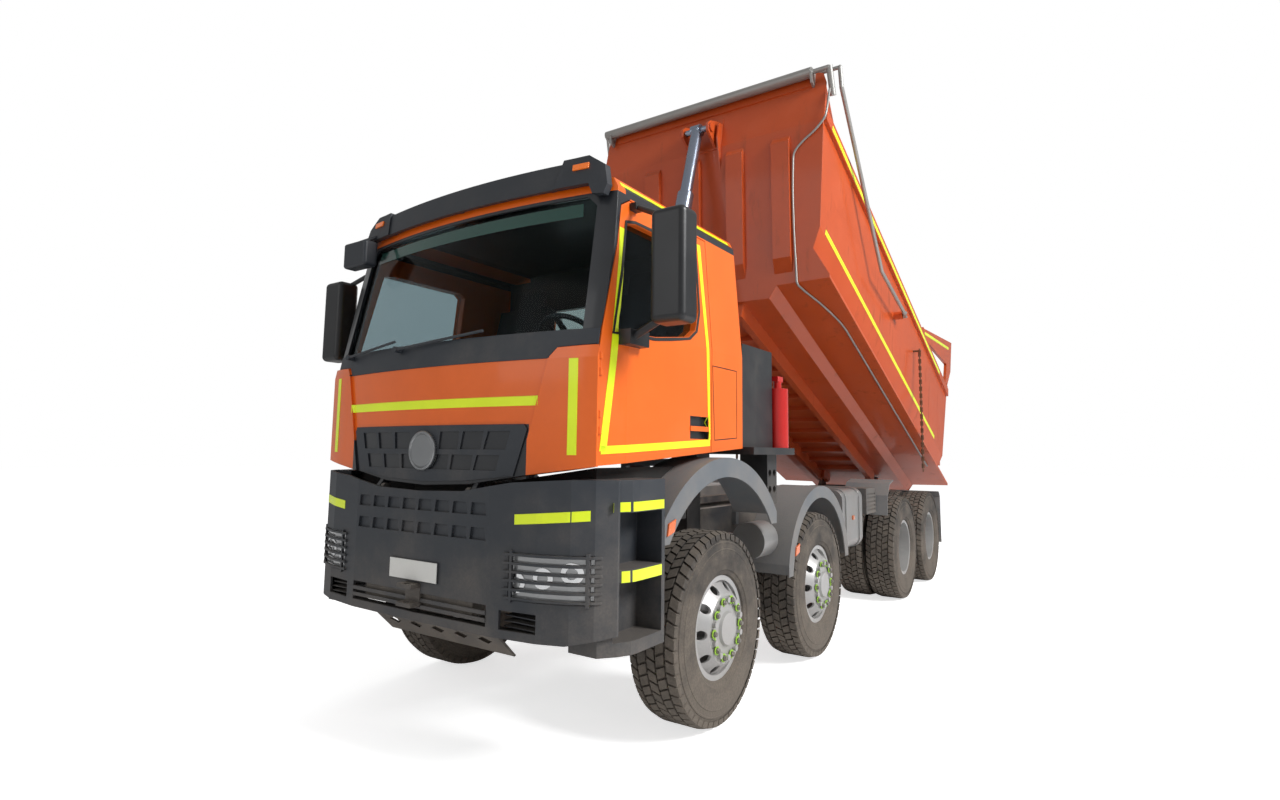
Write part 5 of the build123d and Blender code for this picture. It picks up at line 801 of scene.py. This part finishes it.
# ------------------------------------------------------------------ hatch behind the door
# A small hatch in the cab's side wall shows only as a thin dark gap round it. Its corners
# are given as Y and Z.
HATCH = [(-0.005, 1.70), (0.30, 1.72), (0.30, 2.16), (-0.03, 2.16)]


def outline_band(points, out):
    """Loops round an outline given as Y and Z, each moved out from its middle."""
    middle = (sum(y for y, _ in points) / len(points), sum(z for _, z in points) / len(points))
    loops = []
    for shift in out:
        loop = []
        for y, z in points:
            away = Vector((y - middle[0], z - middle[1])).normalized()
            loop.append((y + away.x * shift, z + away.y * shift))
        loops.append(loop)
    return loops


def dense(points, step=0.05):
    """The same closed outline with more points along each side."""
    found = []
    for (y0, z0), (y1, z1) in zip(points, points[1:] + points[:1]):
        parts = max(1, round(math.hypot(y1 - y0, z1 - z0) / step))
        found += [(y0 + (y1 - y0) * k / parts, z0 + (z1 - z0) * k / parts) for k in range(parts)]
    return found


for sign, side, way in SIDES:
    rows = [[at(sign * 2.0, y, z) for y, z in loop]
            for loop in outline_band(dense(HATCH), (0.0, 0.006))]
    sheet_on(f"hatch_gap_{side}", "cab_shell", rows, way, "cab", gap_and_shade_black, thick=0.0008,
             closed=True)

# ------------------------------------------------------------------ cab glass
# Clear glass with a little tint, glued into the windscreen's opening and slid into the
# doors. The panes don't move here.
def glass_finish(name, tint):
    """Clear glass of a tint."""
    material, _, shader = new_material(name)
    shader.inputs["Base Color"].default_value = (*tint, 1.0)
    shader.inputs["Roughness"].default_value = 0.02
    shader.inputs["Transmission Weight"].default_value = 1.0
    shader.inputs["IOR"].default_value = 1.1
    return material


dress(glass_finish("cab_pane", (0.40, 0.47, 0.47)), "cab_glass")
dress(glass_finish("door_pane", (0.38, 0.46, 0.5)), "door_glass_left", "door_glass_right")

# ------------------------------------------------------------------ window rubbers
# A black moulded rubber lip runs round the window in each door. The window's corners are
# given as Y and Z.
WINDOW = [(-1.035, 2.228), (-0.690, 2.248), (-0.327, 2.303), (-0.237, 2.358), (-0.187, 2.483),
          (-0.175, 2.825), (-0.217, 2.855), (-0.820, 2.855), (-0.905, 2.835)]
rubber_black = finish("rubber_black", (0.012, 0.012, 0.013), 0.6, dust=0.1)
for sign, side, way in SIDES:
    rows = [[at(sign * 2.0, y, z) for y, z in loop]
            for loop in outline_band(dense(WINDOW), (0.004, 0.022))]
    sheet_on(f"window_rubber_{side}", f"door_{side}", rows, way, f"{side}_door", rubber_black,
             thick=0.004, closed=True)

# ------------------------------------------------------------------ sun band
# A dark green strip of film along the windscreen's top edge, against low sun. It is glued
# to the glass.
band_green = finish("band_green", (0.008, 0.06, 0.045), 0.15, coat=0.5, dust=0.02)
patch_on("sun_band", "cab_glass", ((-0.90, -2, 2.875), (0.90, -2, 2.875),
                                   (0.89, -2, 2.955), (-0.89, -2, 2.955)),
         (3, 40), FRONT, "cab", band_green, thick=0.001)

# ------------------------------------------------------------------ visor
# A dark moulded visor over the windscreen with orange marker lamps, and a red beacon.
visor_grey = finish("visor_grey", (0.02, 0.024, 0.031), 0.45, dust=0.12,
                    zones=(((0.5, 0.02, 0.012), (0.6, -1.0, 3.19), (0.8, -0.7, 3.4)),))
dress(visor_grey, "sun_visor")
marker_orange = finish("marker_orange", (0.85, 0.17, 0.01), 0.2, coat=0.8, dust=0.05, glow=0.2)
for sign, side, _ in SIDES:
    inner, outer = sign * 0.84, sign * 0.94
    patch_on(f"marker_{side}", "sun_visor", ((inner, -2, 3.135), (outer, -2, 3.135),
                                             (outer, -2, 3.168), (inner, -2, 3.168)),
             (2, 6), FRONT, "cab", marker_orange, thick=0.008)

# ------------------------------------------------------------------ inside of the cab
# Seats, wheel and dashboard in dark grey plastic and cloth, bolted to the cab's floor and
# seen only through the glass.
cabin_grey = finish("cabin_grey", (0.03, 0.034, 0.04), 0.7, dust=0.03)
dress(cabin_grey, "cab_interior")

# ------------------------------------------------------------------ mirrors
# Black moulded heads on short arms, bolted to the doors. Each has a silvered glass set in
# its rear face.
mirror_black = finish("mirror_black", (0.012, 0.013, 0.015), 0.38, dust=0.06)
dress(mirror_black, "mirror_left", "mirror_right")
mirror_glass = finish("mirror_glass", (0.72, 0.76, 0.8), 0.04, metal=1.0, dust=0.03, bump=0.0)
REAR = (0, -1, 0)
for sign, side, _ in SIDES:
    inner, outer = sign * 1.375, sign * 1.495
    patch_on(f"mirror_glass_{side}", f"mirror_{side}", ((inner, 1, 2.29), (outer, 1, 2.29),
                                                        (outer, 1, 2.79), (inner, 1, 2.79)),
             (2, 2), REAR, f"{side}_door", mirror_glass)

# ------------------------------------------------------------------ bed
# A welded steel tub and tailgate in duller orange, with rust runs and dust. The tub turns
# on the hinge at its tail.
BED_PIVOT = (6.3365, 1.2475)
BED_TILT = math.radians(21.3)
# the hinge stands this far ahead of the tail and below the floor
HINGE_AHEAD = 0.04
HINGE_DROP = 0.072
BED_ORANGE = (0.50, 0.068, 0.007)
bed_orange = finish("bed_orange", BED_ORANGE, 0.42, coat=0.25, dust=0.12, fade=2.2, rust=0.35)
dress(bed_orange, "bed_tub", "tailgate", "bed_frame")


def on_bed(x, a, h):
    """A place on the raised bed: across, ahead of the tail and above the floor, in metres."""
    ahead, above = a - HINGE_AHEAD, h + HINGE_DROP
    y = BED_PIVOT[0] - ahead * math.cos(BED_TILT) + above * math.sin(BED_TILT)
    return at(x, y, BED_PIVOT[1] + ahead * math.sin(BED_TILT) + above * math.cos(BED_TILT))


# ------------------------------------------------------------------ bed tapes
# Yellow reflective film along the tub's top rail and knee, and along the gate's two arms.
# An arm's band runs between two points ahead of the tail and above the floor.
ARM_TAPE = ((1.15, 1.70), (-0.45, 2.34))
TAPE_TALL = 0.045
for sign, side, way in SIDES:
    out = sign * 2.0
    patch_on(f"tape_rail_{side}", "bed_tub", ((out, 0.35, 1.445), (out, 5.25, 1.445),
                                              (out, 5.25, 1.495), (out, 0.35, 1.495)),
             (2, 60), way, "bed", tape_yellow, place=on_bed)
    patch_on(f"tape_knee_{side}", "bed_tub", ((out, 0.1, 0.55), (out, 4.9, 0.55),
                                              (out, 4.9, 0.60), (out, 0.1, 0.60)),
             (2, 60), way, "bed", tape_yellow, place=on_bed)
for sign, side, way in SIDES:
    out = sign * 2.0
    (a0, h0), (a1, h1) = ARM_TAPE
    patch_on(f"tape_arm_{side}", "tailgate",
             ((out, a0, h0 - TAPE_TALL), (out, a1, h1 - TAPE_TALL), (out, a1, h1), (out, a0, h0)),
             (2, 20), way, "gate", tape_yellow, place=on_bed)

# ------------------------------------------------------------------ chains
# Rusty chains of welded steel links hang from studs on the tub's sides. Their lower ends
# are free.
chain_rust = finish("chain_rust", (0.14, 0.06, 0.03), 0.75, metal=0.2, dust=0.2)
dress(chain_rust, "chains")

# ------------------------------------------------------------------ load cover
# A roll of cover sheet in its housing over the front wall, and the grey tube frame that
# draws it back over the load.
arm_grey = finish("arm_grey", (0.33, 0.325, 0.31), 0.42, metal=0.5, dust=0.1)
dress(arm_grey, "cover_arms", "cover_roll")

# ------------------------------------------------------------------ hoist
# Chromed telescopic tubes slide in a dark painted barrel. The barrel leans on a pin in the
# frame, and the last tube lifts the tub by its front wall.
tube_steel = finish("tube_steel", (0.3, 0.34, 0.42), 0.22, metal=0.9, dust=0.04)
dress(tube_steel, "hoist_stage_1", "hoist_stage_2", "hoist_rod")
barrel_grey = finish("barrel_grey", (0.04, 0.045, 0.055), 0.4, dust=0.15)
dress(barrel_grey, "hoist_barrel")
